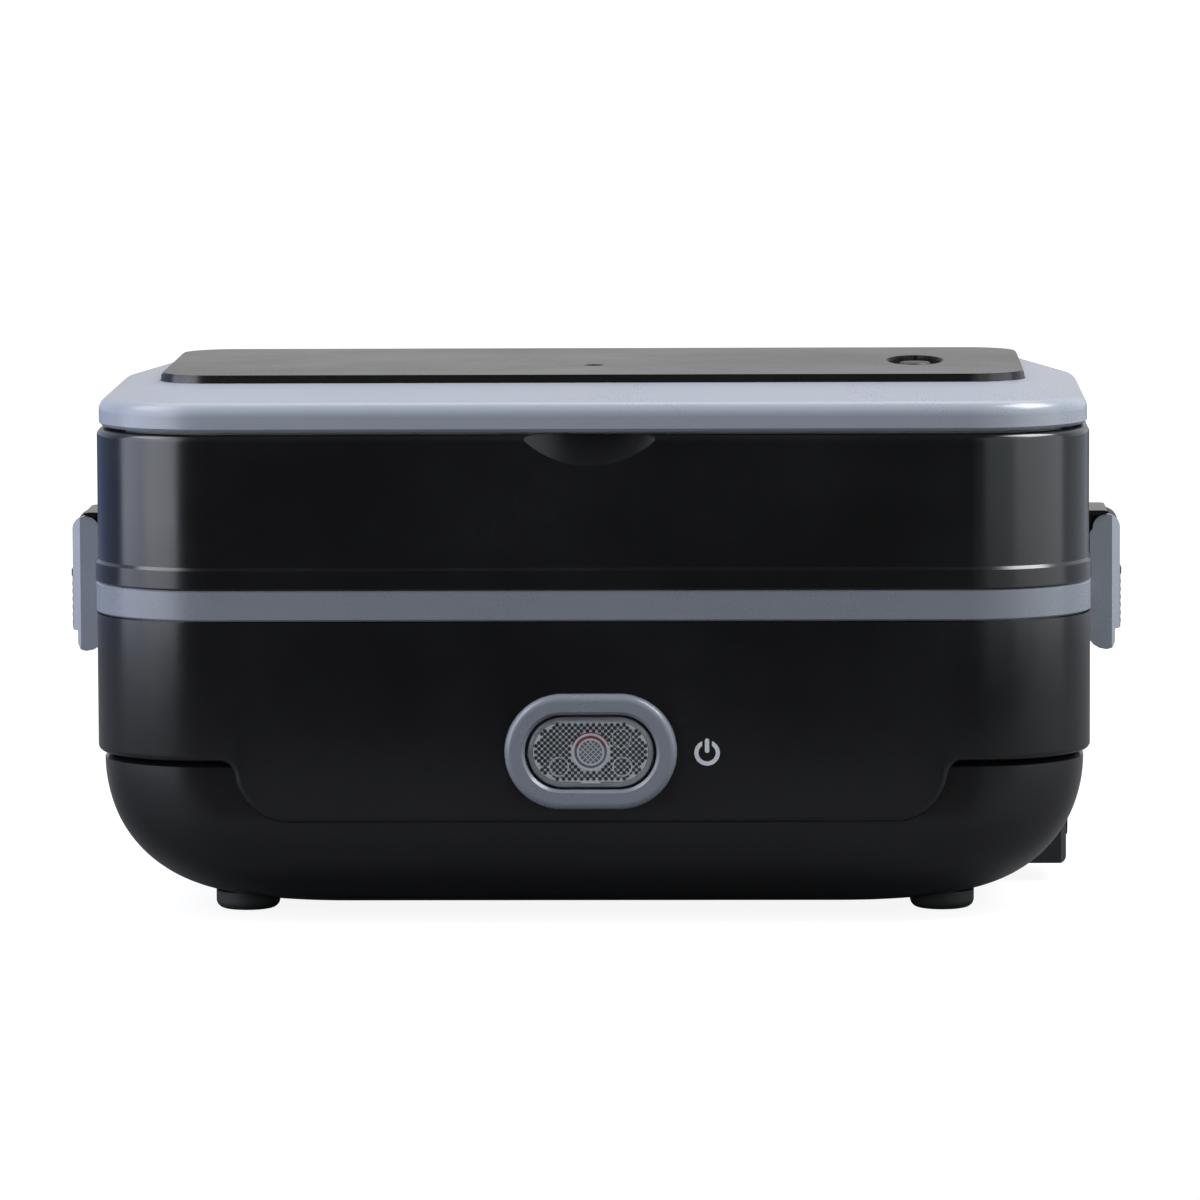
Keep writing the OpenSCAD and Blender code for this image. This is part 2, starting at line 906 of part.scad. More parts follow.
// Bridge behind the key: it carries the lamp, the springs and the switch
module lamp_holder() {
    color("#e4e2da")
        difference() {
            union() {
                box([-21, holder_y, button_z - 6], [21, holder_y + holder_t, button_z + 6]);
                for (side = [-1, 1])
                    translate([side * 20, (front_y + wall + holder_y + holder_t) / 2, button_z])
                        cube([2, holder_y + holder_t - front_y - wall, 12], center = true);
            }
            translate([0, holder_y - 1, button_z])
                rod_y(2.6, 5);
            translate([-7, holder_y - 1, button_z + 3.2])
                rod_y(1.3, 5);
        }
}

// Snap switch that the key works through a small plunger
module switch_body() {
    color("#3a3a3d")
        difference() {
            box([-11, holder_y + holder_t, button_z - 4], [-3.4, holder_y + 5, button_z + 6]);
            translate([-7, holder_y, button_z + 3.2])
                rod_y(1.3, 4);
        }
}

module switch_plunger() {
    color("#b9312b")
        translate([-7, key_face_y + key_depth - 0.6, button_z + 3.2])
            rod_y(1.2, 7.2);
}

module lamp_resistor() {
    color("#c8a878")
        translate([4, holder_y + holder_t + 1.4, button_z])
            rod_x(1.2, 7);
}

module power_mark() {
    color("#b9bcc0")
        translate([26.1, front_y, button_z - 0.4])
            rotate([90, 0, 0])
                linear_extrude(0.12) {
                    difference() {
                        circle(2.87);
                        circle(1.93);
                        translate([-1.1, 1])
                            square([2.2, 3]);
                    }
                    translate([-0.5, 0.5])
                        square([1, 2.25]);
                    for (z = [0.5, 2.75])
                        translate([0, z])
                            circle(0.5, $fn = 24);
                }
}

// ---- Internal wires ----

live_route = [
    [85.8, 23.7, 17], [80, 23.7, 17], [74, 22, 16], [69, 16, 14], [64, 8, 13], [60, 2, 15],
    [57, 0, 19], [57, 0, 24], [57, 0, 25.8]
];
neutral_route = [
    [85.8, 32.3, 17], [80, 32.3, 17], [70, 33, 15], [56, 32, 13], [40, 30, 12], [24, 30, 12],
    [6, 29, 12], [-6, 26, 14], [-8, 22, 19], [-8, 20.5, 24], [-8, 20.4, 26.6]
];
fuse_route = [
    [35.6, 0, 25.9], [35.6, 0, 23.4], [35.6, 6, 21], [35.8, 14, 22], [35.4, 20, 25], [34, 23.6, 27],
    [32, 24, 27.4], [30.2, 24, 27.4]
];

module live_wire() {
    color("#7a3b22")
        wire(live_route, 0.9);
}

module neutral_wire() {
    color("#2f5f9e")
        wire(neutral_route, 0.9);
}

module fuse_wire() {
    color("#7a3b22")
        wire(fuse_route, 0.9);
}

// ---- Lid ----

// Section of the rim, set in by a wall's thickness or not
module rim_section(inset) {
    out = frame_r;
    low = frame_bottom - (inset > 0 ? 1 : 0);
    edge = out - rim_w - (inset > 0 ? 4 : 3);
    r = shoulder_r - inset;
    translate([out - shoulder_r, shoulder_z])
        circle(r, $fn = 96);
    polygon([
        [edge, low],
        [edge, frame_top - inset],
        [out - rim_w - inset * (1 / cos(lean) - 1) / tan(lean), frame_top - inset],
        [out - shoulder_r + r * sin(lean), shoulder_z + r * cos(lean)],
        [out - shoulder_r, shoulder_z],
        [out - inset, shoulder_z],
        [out - inset, low]
    ]);
}

module lid_frame_profile() {
    out = frame_r;
    difference() {
        rim_section(0);
        rim_section(frame_t);
        // seat of the panel
        translate([out - rim_w - 4, panel_top - panel_t])
            square([4, panel_t + 1]);
        // chamfer of the lower outer edge
        translate([out, frame_bottom])
            rotate(45)
                square(1, center = true);
    }
}

module lid_frame() {
    color(blue_grey)
        difference() {
            union() {
                sweep_round(frame_hw, frame_hd, frame_r)
                    lid_frame_profile();
                // stiffening bar and web of each lid barrel
                for (x = [-hinge_x, hinge_x]) {
                    translate([x - hinge_lid_half, hinge_y, hinge_z])
                        rod_x(hinge_r, 2 * hinge_lid_half);
                    box(
                        [x - hinge_lid_half, frame_hd - 2, hinge_z + 0.3],
                        [x + hinge_lid_half, hinge_y, hinge_z + hinge_r]
                    );
                }
            }
            for (x = [-hinge_x, hinge_x]) {
                for (side = [-1, 1])
                    translate([x + side * 6.7 - 3, hinge_y, hinge_z])
                        rod_x(hinge_relief_r, 6);
                translate([x - hinge_half, hinge_y, hinge_z])
                    rod_x(hinge_pin_r + running, 2 * hinge_half);
            }
        }
}

// Points of an ellipse
function oval(w, l) = [for (a = [0:7.5:352.5]) [w / 2 * cos(a), l / 2 * sin(a)]];

module lid_panel() {
    half_w = frame_hw - rim_w - panel_gap;
    half_d = frame_hd - rim_w - panel_gap;
    r = frame_r - rim_w - panel_gap;
    color(black)
        difference() {
            union() {
                slab(half_w, half_d, r, panel_top - panel_t, panel_top - 0.5);
                slab(half_w - 0.2, half_d - 0.2, r - 0.2, panel_top - 0.6, panel_top - 0.2);
                slab(half_w - 0.5, half_d - 0.5, r - 0.5, panel_top - 0.3, panel_top);
                // bosses for the liner's screws
                for (x = [-liner_screw_x, liner_screw_x])
                    for (y = [-liner_screw_y, liner_screw_y])
                        translate([x, y, liner_top])
                            cylinder(r = 3.4, h = panel_top - panel_t - liner_top + 1);
            }
            for (x = [-liner_screw_x, liner_screw_x])
                for (y = [-liner_screw_y, liner_screw_y])
                    translate([x, y, liner_top - 1])
                        cylinder(r = 1.25, h = 7);
            translate([0, -13, panel_top - 4])
                cylinder(r = panel_hole_d / 2, h = 6);
            // recess and hole of the vent plug
            for (edge = [[1.7, 0], [1, 0.2], [0.65, 0.5], [0.4, 0.9], [0.2, 1.4]])
                translate([vent_x, vent_y, panel_top - edge[0]])
                    linear_extrude(3)
                        polygon(oval(vent_recess_w - 1.4 + edge[1], vent_recess_l - 1.4 + edge[1]));
            translate([vent_x, plug_y, panel_top - 4])
                cylinder(r = plug_stem_r + 0.1, h = 6);
        }
}

module vent_plug() {
    color("#1b1b1c")
        union() {
            // low head with a rounded edge
            translate([vent_x, plug_y, panel_top - 1.4])
                rotate_extrude()
                    union() {
                        square([2.9, 1.1]);
                        square([3.6, 0.4]);
                        intersection() {
                            translate([2.9, 0.4])
                                circle(0.7);
                            square([4, 2]);
                        }
                    }
            translate([vent_x, plug_y, panel_top - 7])
                cylinder(r = plug_stem_r, h = 6);
        }
}

module lid_liner() {
    half_w = upper_tray_hw - 1.6;
    half_d = upper_tray_hd - 1.6;
    color("#d7d9da")
        difference() {
            union() {
                slab(half_w + 8, half_d + 8, 24.6, liner_top - 1.6, liner_top);
                ring(half_w, half_d, 15.4, 1.6, 105.4, liner_top - 1);
                // upstand that holds the frame against the panel
                ring(half_w + 6.6, half_d + 6.6, 23.2, 1.6, liner_top - 0.5, frame_top - 5.1);
            }
            for (x = [-liner_screw_x, liner_screw_x])
                for (y = [-liner_screw_y, liner_screw_y])
                    translate([x, y, liner_top - 3])
                        cylinder(r = 1.5, h = 5);
            // steam hole under the plug, and the channel of the seal
            translate([vent_x, plug_y, liner_top - 3])
                cylinder(r = 4, h = 4);
            ring(half_w + 6.4, half_d + 6.4, 23, 3.2, liner_top - 3, liner_top - 0.8);
        }
}

module lid_seal() {
    half_w = upper_tray_hw - 1.6;
    half_d = upper_tray_hd - 1.6;
    color(silicone)
        ring(half_w + 6.3, half_d + 6.3, 22.9, 3, upper_flange_z + tray_t + 0.4, liner_top - 0.8);
}

module liner_screws() {
    color(steel)
        for (x = [-liner_screw_x, liner_screw_x])
            for (y = [-liner_screw_y, liner_screw_y])
                translate([x, y, liner_top - 3.1])
                    union() {
                        cylinder(r = 2.4, h = 1.5);
                        cylinder(r = 1.2, h = 7);
                    }
}

module hinge_pins() {
    color(steel)
        for (x = [-hinge_x, hinge_x])
            translate([x - hinge_half + 0.3, hinge_y, hinge_z])
                rod_x(hinge_pin_r, 2 * hinge_half - 0.6);
}

// ---- Latches ----

// Cheek of the lever, seen from the front, on the right-hand side
module cheek_outline() {
    inner = hw + lip_out + 0.35;
    outer = latch_x + latch_r;
    union() {
        translate([latch_x, latch_pivot_z])
            circle(latch_r);
        polygon([
            [latch_x - latch_r + 0.1, latch_pivot_z], [inner, latch_pivot_z - 1],
            [inner, latch_tip_z + 2.2], [inner + 0.9, latch_tip_z + 1.1],
            [inner + 2.3, latch_tip_z + 0.3], [inner + 4, latch_tip_z],
            [inner + 5.3, latch_tip_z + 0.4], [inner + 5.9, latch_tip_z + 1.8],
            [outer - 1.15, latch_tip_z + 4.7], [outer, latch_tip_z + 4.8], [outer, latch_pivot_z]
        ]);
    }
}

// The lever from above, with chamfered outer edges
module lever_plan() {
    chamfer = 1.9;
    outer = latch_x + latch_r;
    polygon([
        [hw, -latch_half], [outer - chamfer, -latch_half], [outer, chamfer - latch_half],
        [outer, latch_half - chamfer], [outer - chamfer, latch_half], [hw, latch_half]
    ]);
}

module latch_lever() {
    outer = latch_x + latch_r;
    cheek_t = 2.4;
    color(blue_grey)
        difference() {
            intersection() {
                union() {
                    for (y = [cheek_t - latch_half, latch_half])
                        translate([0, y, 0])
                            rotate([90, 0, 0])
                                linear_extrude(cheek_t)
                                    cheek_outline();
                    // outer plate, open at its foot for the fingers
                    translate([0, latch_half - 0.5, 0])
                        rotate([90, 0, 0])
                            linear_extrude(2 * latch_half - 1)
                                intersection() {
                                    cheek_outline();
                                    box_2d([outer - 2.6, 40], [outer + 2, latch_pivot_z - 2.8]);
                                }
                    // hook under the base's rib, and the web that carries it
                    for (part = [[base_hw + 0.4, catch_z - 0.3], [outer - 3.6, catch_z + 4]])
                        box([part[0], 0.5 - lug_y, catch_z - 2.3], [outer - 1, lug_y - 0.5, part[1]]);
                }
                translate([0, 0, latch_tip_z - 5])
                    linear_extrude(2 * (latch_pivot_z - latch_tip_z))
                        lever_plan();
            }
            // blind bores for the pin
            translate([latch_x, 1 - latch_half, latch_pivot_z])
                rod_y(latch_pin_r + running, 2 * latch_half - 2);
        }
}

module latch_grip() {
    outer = latch_x + latch_r;
    color("#3c3f45")
        union() {
            box([outer, -7.5, 62], [outer + 0.15, 7.5, 75.8]);
            box([outer, -7.5, 74.2], [outer + 0.35, 7.5, 75.8]);
            for (i = [0:5])
                box([outer, -7, 63 + 1.8 * i], [outer + 0.25, 7, 63.8 + 1.8 * i]);
        }
}

module latch_pin() {
    color(steel)
        translate([latch_x, 1.1 - latch_half, latch_pivot_z])
            rod_y(latch_pin_r, 2 * latch_half - 2.2);
}

module latch_lever_right() {
    latch_lever();
}

module latch_lever_left() {
    rotate([0, 0, 180])
        latch_lever();
}

module latch_grip_right() {
    latch_grip();
}

module latch_grip_left() {
    rotate([0, 0, 180])
        latch_grip();
}

module latch_pin_right() {
    latch_pin();
}

module latch_pin_left() {
    rotate([0, 0, 180])
        latch_pin();
}

base_shell();
bottom_bowl();
collar();
tier_seal();
heating_pan();
ptc_heater();
heater_clamp();
clamp_nuts();
thermostat();
thermal_fuse();
lower_tray();
lower_tray_lid();
lower_tray_seal();
upper_shell();
upper_tray();
inlet_housing();
inlet_socket();
inlet_pins();
button_bezel();
power_key();
key_spring();
switch_body();
switch_plunger();
neon_lamp();
lamp_holder();
lamp_resistor();
power_mark();
live_wire();
neutral_wire();
fuse_wire();
base_screws();
feet();
lid_frame();
lid_panel();
lid_liner();
lid_seal();
liner_screws();
hinge_pins();
vent_plug();
latch_lever_left();
latch_lever_right();
latch_grip_left();
latch_grip_right();
latch_pin_left();
latch_pin_right();
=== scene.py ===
# %% [markdown]
# # An electric lunch box, dressed for its picture
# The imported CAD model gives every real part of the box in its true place.
# This notebook leaves those parts where they are and gives them finishes, and
# rebuilds a few of them where the picture needs a smoother or finer form:
# the swept bottom, the prism sheet behind the clear key, the springs and wires.

# %% Load the fixed frame
import bpy
import bmesh
import math
from mathutils import Matrix, Vector


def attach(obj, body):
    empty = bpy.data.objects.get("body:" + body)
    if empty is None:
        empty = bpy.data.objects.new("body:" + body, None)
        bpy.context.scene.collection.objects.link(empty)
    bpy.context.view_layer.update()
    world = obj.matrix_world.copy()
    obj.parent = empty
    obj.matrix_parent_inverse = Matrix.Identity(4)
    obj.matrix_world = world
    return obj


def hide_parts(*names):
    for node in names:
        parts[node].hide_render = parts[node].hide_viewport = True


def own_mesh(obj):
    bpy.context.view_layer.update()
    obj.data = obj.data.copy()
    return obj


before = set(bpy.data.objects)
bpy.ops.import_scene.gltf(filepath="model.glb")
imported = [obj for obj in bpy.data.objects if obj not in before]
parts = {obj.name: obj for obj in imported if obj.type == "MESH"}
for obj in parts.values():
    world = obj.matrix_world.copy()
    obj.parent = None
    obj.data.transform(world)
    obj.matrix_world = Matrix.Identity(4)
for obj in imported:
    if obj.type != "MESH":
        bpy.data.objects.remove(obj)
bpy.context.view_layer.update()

MM = 0.001

# %% [markdown]
# ## The camera
# The picture was taken from far away with a long lens, a little above the box
# and a hair to its right, so upright edges stay almost parallel. A long lens
# from nearly two metres gives the same calm perspective. The camera tilts down
# by about six degrees, and leans by a quarter of a degree as the real one did.

# %% Camera
CAMERA_AT = (0.0457, -1.8374, 0.2546)
TURN_DEG, DOWN_DEG, LEAN_DEG = 1.4, 5.81, -0.25
lens_data = bpy.data.cameras.new("long_lens")
lens_data.lens = 239.6
lens_data.sensor_width = 36.0
lens_data.clip_start = 0.1
lens_data.clip_end = 30.0
camera = bpy.data.objects.new("camera", lens_data)
bpy.context.collection.objects.link(camera)
turn = Matrix.Rotation(math.radians(TURN_DEG), 4, "Z")
tilt = Matrix.Rotation(math.radians(90.0 - DOWN_DEG), 4, "X")
lean = Matrix.Rotation(math.radians(LEAN_DEG), 4, "Z")
camera.matrix_world = Matrix.Translation(CAMERA_AT) @ turn @ tilt @ lean
bpy.context.scene.camera = camera
bpy.context.scene.view_settings.view_transform = "Standard"
print("camera at", [round(v, 3) for v in camera.matrix_world.translation])

# %% [markdown]
# ## Small tools for finishes
# A finish is a net of nodes, and the same few nodes come back in each of them:
# a noise, a change of range, a sum, a blend of two colours. Each gets a short
# helper that adds the node, joins its inputs and hands back its output, so
# that a finish can be read as a sum.

# %% Helpers for node groups
def new_group(name, inputs, outputs):
    group = bpy.data.node_groups.new(name, "ShaderNodeTree")
    for label, kind, value in inputs:
        socket = group.interface.new_socket(name=label, in_out="INPUT", socket_type=kind)
        socket.default_value = value
    for label, kind in outputs:
        group.interface.new_socket(name=label, in_out="OUTPUT", socket_type=kind)
    return group, group.nodes.new("NodeGroupInput"), group.nodes.new("NodeGroupOutput")


def add(tree, kind, **settings):
    node = tree.nodes.new(kind)
    for key, value in settings.items():
        setattr(node, key, value)
    return node


def noise(tree, where, scale, detail=2.0, roughness=0.5):
    node = add(tree, "ShaderNodeTexNoise")
    tree.links.new(where, node.inputs["Vector"])
    if hasattr(scale, "links"):
        tree.links.new(scale, node.inputs["Scale"])
    else:
        node.inputs["Scale"].default_value = scale
    node.inputs["Detail"].default_value = detail
    node.inputs["Roughness"].default_value = roughness
    return node.outputs["Fac"]


def spread(tree, value, low, high, to_low, to_high):
    node = add(tree, "ShaderNodeMapRange")
    for slot, item in zip(("Value", "From Min", "From Max", "To Min", "To Max"),
                          (value, low, high, to_low, to_high)):
        if hasattr(item, "links"):
            tree.links.new(item, node.inputs[slot])
        else:
            node.inputs[slot].default_value = item
    return node.outputs["Result"]


def math_node(tree, operation, *items):
    node = add(tree, "ShaderNodeMath", operation=operation)
    for slot, item in zip(node.inputs, items):
        if hasattr(item, "links"):
            tree.links.new(item, slot)
        else:
            slot.default_value = item
    return node.outputs[0]


def blend_colours(tree, mask, first, second):
    node = add(tree, "ShaderNodeMix", data_type="RGBA")
    tree.links.new(mask, node.inputs["Factor"])
    tree.links.new(first, node.inputs["A"])
    tree.links.new(second, node.inputs["B"])
    return node.outputs["Result"]


# %% [markdown]
# ## The skin of moulded plastic
# Most of the box is moulded plastic. Moulded plastic is never quite even: its
# skin has a fine grain from the mould, slow waves, and patches that are a bit
# shinier where hands have polished it. One node group makes these three and is
# placed in every plastic material with its own numbers. Its outputs are a
# colour, a roughness and a height, and the shader stays in the material.

# %% The moulded skin
COLOUR, NUMBER = "NodeSocketColor", "NodeSocketFloat"
moulded_skin, given, made = new_group(
    "moulded_skin",
    [("Colour", COLOUR, (0.5, 0.5, 0.5, 1)), ("Rubbed Colour", COLOUR, (0.6, 0.6, 0.6, 1)),
     ("Grain per metre", NUMBER, 2600.0), ("Roughness", NUMBER, 0.4), ("Patchiness", NUMBER, 0.06)],
    [("Colour", COLOUR), ("Roughness", NUMBER), ("Height", NUMBER)],
)
place = add(moulded_skin, "ShaderNodeTexCoord").outputs["Object"]
grain = noise(moulded_skin, place, given.outputs["Grain per metre"], 3.0, 0.6)
waves = noise(moulded_skin, place, 46.0, 2.0)
patches = noise(moulded_skin, place, 21.0, 4.0, 0.62)
specks = noise(moulded_skin, place, 900.0, 1.0)
rubbed = math_node(moulded_skin, "MULTIPLY", spread(moulded_skin, patches, 0.42, 0.7, 0.0, 1.0),
                   spread(moulded_skin, specks, 0.35, 0.65, 0.55, 1.0))
moulded_skin.links.new(
    blend_colours(moulded_skin, rubbed, given.outputs["Colour"], given.outputs["Rubbed Colour"]),
    made.inputs["Colour"])
uneven = math_node(moulded_skin, "MULTIPLY", spread(moulded_skin, patches, 0.3, 0.7, -1.0, 1.0),
                   given.outputs["Patchiness"])
fine = spread(moulded_skin, grain, 0.3, 0.7, -0.015, 0.015)
moulded_skin.links.new(
    math_node(moulded_skin, "ADD", math_node(moulded_skin, "ADD", given.outputs["Roughness"], uneven), fine),
    made.inputs["Roughness"])
moulded_skin.links.new(
    math_node(moulded_skin, "ADD", grain, math_node(moulded_skin, "MULTIPLY", waves, 3.0)),
    made.inputs["Height"])
print("group:", moulded_skin.name)

# %% [markdown]
# ## From skin to plastic
# A plastic is a shader with the skin's colour and roughness, and a bump whose
# depth is the real height of the grain in metres. Only a few numbers tell one
# plastic from another, so one function makes them all.

# %% A plastic from the skin
def shader_of(name):
    material = bpy.data.materials.new(name)
    material.use_nodes = True
    return material, material.node_tree, material.node_tree.nodes["Principled BSDF"]


def place_group(tree, group, **values):
    node = tree.nodes.new("ShaderNodeGroup")
    node.node_tree = group
    for key, value in values.items():
        node.inputs[key.replace("_", " ")].default_value = value
    return node


def bump(tree, shader, height, depth):
    node = tree.nodes.new("ShaderNodeBump")
    node.inputs["Distance"].default_value = depth
    tree.links.new(height, node.inputs["Height"])
    tree.links.new(node.outputs["Normal"], shader.inputs["Normal"])


def plastic(name, colour, rubbed, roughness, depth, grain=2600.0, patchiness=0.05, **sockets):
    material, tree, shader = shader_of(name)
    skin = place_group(tree, moulded_skin, Colour=(*colour, 1), Rubbed_Colour=(*rubbed, 1),
                       Grain_per_metre=grain, Roughness=roughness, Patchiness=patchiness)
    tree.links.new(skin.outputs["Colour"], shader.inputs["Base Color"])
    tree.links.new(skin.outputs["Roughness"], shader.inputs["Roughness"])
    bump(tree, shader, skin.outputs["Height"], depth)
    for key, value in sockets.items():
        shader.inputs[key.replace("_", " ")].default_value = value
    material.diffuse_color = (*colour, 1)
    print("finish:", name)
    return material


# %% [markdown]
# ## Plastics of the outside
# The shells and the lid's panel are satin black, glossy enough for the panel
# to mirror the bright room behind it at a low angle. The trim is a cool
# blue-grey with a softer gloss. The lid's rim and the latches get a copy of it
# painted a little lighter than the band and the bezel, as painted light for
# the light from above that they catch.

# %% Outer plastics
black_shell = plastic("black_shell", (0.0042, 0.0042, 0.0045), (0.006, 0.006, 0.0065),
                      0.22, 0.0000009, grain=2200.0)
black_panel = plastic("black_panel", (0.006, 0.006, 0.0056), (0.008, 0.008, 0.0075),
                      0.24, 0.0000006, grain=1800.0, patchiness=0.04)
blue_grey_trim = plastic("blue_grey_trim", (0.147, 0.158, 0.18), (0.152, 0.163, 0.186),
                         0.28, 0.0000003, grain=2400.0, patchiness=0.04)
# A lighter copy of the trim: painted light on the lid's rim and the latches.
trim_painted_lighter = plastic("trim_painted_lighter", (0.21, 0.226, 0.256), (0.215, 0.231, 0.261),
                   0.3, 0.0000002, grain=2400.0, patchiness=0.04)
ribbed_grip = plastic("ribbed_grip", (0.085, 0.09, 0.1), (0.11, 0.115, 0.125),
                      0.5, 0.000004, grain=2600.0)
inlet_black = plastic("inlet_black", (0.012, 0.012, 0.013), (0.02, 0.02, 0.021), 0.45, 0.000003)
printed_ink = plastic("printed_ink", (0.42, 0.43, 0.45), (0.48, 0.49, 0.51), 0.5, 0.000002, grain=5200.0)
foot_rubber = plastic("foot_rubber", (0.012, 0.012, 0.012), (0.03, 0.029, 0.028), 0.7, 0.000012, grain=1700.0)
vent_silicone = plastic("vent_silicone", (0.016, 0.016, 0.017), (0.024, 0.024, 0.025), 0.5, 0.000004)

# %% [markdown]
# ## Plastics and silicone of the inside
# Inside are a pale food tray and liner, milky seals, heat-proof sockets and
# dark switch housings. Silicone and pale food plastic let some light in, so
# they have a little subsurface scattering.

# %% Inner plastics
food_plastic = plastic("food_plastic", (0.56, 0.575, 0.59), (0.6, 0.61, 0.62), 0.34, 0.000002,
                       Subsurface_Weight=0.12, Subsurface_Scale=0.002)
milky_lid = plastic("milky_lid", (0.66, 0.69, 0.71), (0.71, 0.73, 0.75), 0.46, 0.000004,
                    Subsurface_Weight=0.3, Subsurface_Scale=0.003)
pale_silicone = plastic("pale_silicone", (0.66, 0.65, 0.62), (0.7, 0.69, 0.66), 0.55, 0.000004,
                        Subsurface_Weight=0.35, Subsurface_Scale=0.002)
lamp_bridge = plastic("lamp_bridge", (0.68, 0.67, 0.63), (0.72, 0.71, 0.68), 0.5, 0.000003)
switch_phenolic = plastic("switch_phenolic", (0.035, 0.032, 0.03), (0.06, 0.055, 0.05), 0.55, 0.000004)
plunger_red = plastic("plunger_red", (0.42, 0.03, 0.02), (0.5, 0.06, 0.04), 0.4, 0.000002)
heater_film = plastic("heater_film", (0.55, 0.52, 0.45), (0.62, 0.58, 0.5), 0.5, 0.000006, grain=900.0)
sleeve_brown = plastic("sleeve_brown", (0.16, 0.06, 0.025), (0.22, 0.09, 0.04), 0.5, 0.000006, grain=3800.0)
sleeve_blue = plastic("sleeve_blue", (0.03, 0.11, 0.36), (0.06, 0.16, 0.42), 0.5, 0.000006, grain=3800.0)
fuse_ceramic = plastic("fuse_ceramic", (0.7, 0.69, 0.64), (0.74, 0.73, 0.69), 0.4, 0.000003)
resistor_lacquer = plastic("resistor_lacquer", (0.5, 0.36, 0.2), (0.56, 0.42, 0.25), 0.35, 0.000003)

# %% [markdown]
# ## Metals
# Pressed and rolled steel carries fine lines along one direction. Noise that is
# stretched along that direction gives them, both as height and as a change of
# roughness. The direction is an input, so one group serves trays, pins and clamps.

# %% The drawn-metal group and its materials
drawn_metal, given, made = new_group(
    "drawn_metal",
    [("Colour", COLOUR, (0.6, 0.6, 0.6, 1)), ("Dull Colour", COLOUR, (0.5, 0.5, 0.5, 1)),
     ("Roughness", NUMBER, 0.3), ("Along", "NodeSocketVector", (0.04, 1.0, 1.0))],
    [("Colour", COLOUR), ("Roughness", NUMBER), ("Height", NUMBER)],
)
place = add(drawn_metal, "ShaderNodeTexCoord").outputs["Object"]
stretch = add(drawn_metal, "ShaderNodeVectorMath", operation="MULTIPLY")
drawn_metal.links.new(place, stretch.inputs[0])
drawn_metal.links.new(given.outputs["Along"], stretch.inputs[1])
lines = noise(drawn_metal, stretch.outputs["Vector"], 2400.0, 3.0, 0.6)
tarnish = noise(drawn_metal, place, 60.0, 4.0, 0.6)
drawn_metal.links.new(
    blend_colours(drawn_metal, spread(drawn_metal, tarnish, 0.35, 0.7, 0.0, 1.0),
                  given.outputs["Colour"], given.outputs["Dull Colour"]), made.inputs["Colour"])
drawn_metal.links.new(
    math_node(drawn_metal, "ADD", given.outputs["Roughness"],
              math_node(drawn_metal, "ADD", spread(drawn_metal, lines, 0.3, 0.7, -0.06, 0.06),
                        spread(drawn_metal, tarnish, 0.3, 0.7, -0.03, 0.05))), made.inputs["Roughness"])
drawn_metal.links.new(lines, made.inputs["Height"])


def metal(name, colour, dull, roughness, depth, along=(0.04, 1.0, 1.0)):
    material, tree, shader = shader_of(name)
    skin = place_group(tree, drawn_metal, Colour=(*colour, 1), Dull_Colour=(*dull, 1),
                       Roughness=roughness, Along=along)
    tree.links.new(skin.outputs["Colour"], shader.inputs["Base Color"])
    tree.links.new(skin.outputs["Roughness"], shader.inputs["Roughness"])
    bump(tree, shader, skin.outputs["Height"], depth)
    shader.inputs["Metallic"].default_value = 1.0
    material.diffuse_color = (*colour, 1)
    print("finish:", name)
    return material


stainless = metal("stainless", (0.62, 0.615, 0.6), (0.55, 0.545, 0.53), 0.26, 0.000001)
pressed_aluminium = metal("pressed_aluminium", (0.66, 0.67, 0.68), (0.56, 0.57, 0.58), 0.38, 0.000002)
zinc_steel = metal("zinc_steel", (0.58, 0.58, 0.57), (0.46, 0.46, 0.45), 0.34, 0.000001, (1.0, 1.0, 0.2))
plain_brass = metal("plain_brass", (0.72, 0.55, 0.26), (0.58, 0.43, 0.2), 0.3, 0.000001, (0.1, 1.0, 1.0))

# %% [markdown]
# ## Clear parts
# The key is one clear moulding and the lamp is a small tinted glass bulb. Both
# are real glass-like shaders. A very small bump keeps their faces from being
# perfect, as moulded acrylic never is.

# %% Clear acrylic and lamp glass
def clear(name, colour, roughness, index, depth):
    material, tree, shader = shader_of(name)
    skin = place_group(tree, moulded_skin, Colour=(*colour, 1), Rubbed_Colour=(*colour, 1),
                       Grain_per_metre=700.0, Roughness=roughness, Patchiness=0.01)
    tree.links.new(skin.outputs["Colour"], shader.inputs["Base Color"])
    bump(tree, shader, skin.outputs["Height"], depth)
    shader.inputs["Roughness"].default_value = roughness
    shader.inputs["Transmission Weight"].default_value = 1.0
    shader.inputs["IOR"].default_value = index
    material.diffuse_color = (*colour, 0.4)
    print("finish:", name)
    return material


clear_acrylic = clear("clear_acrylic", (0.93, 0.95, 0.97), 0.03, 1.45, 0.000001)
lamp_glass = clear("lamp_glass", (0.95, 0.25, 0.16), 0.08, 1.45, 0.000001)

# %% [markdown]
# ## Each part gets its finish
# The CAD parts stay where they are and keep their shapes. Parts of the same
# material share one finish, as they would on the real box. The parts that are
# built again further down are dressed here too, so the box is complete now.

# %% Dress the CAD parts
def dress(material, *names):
    for name in names:
        mesh = parts[name].data
        mesh.materials.clear()
        mesh.materials.append(material)
    print(material.name, "->", ", ".join(names))


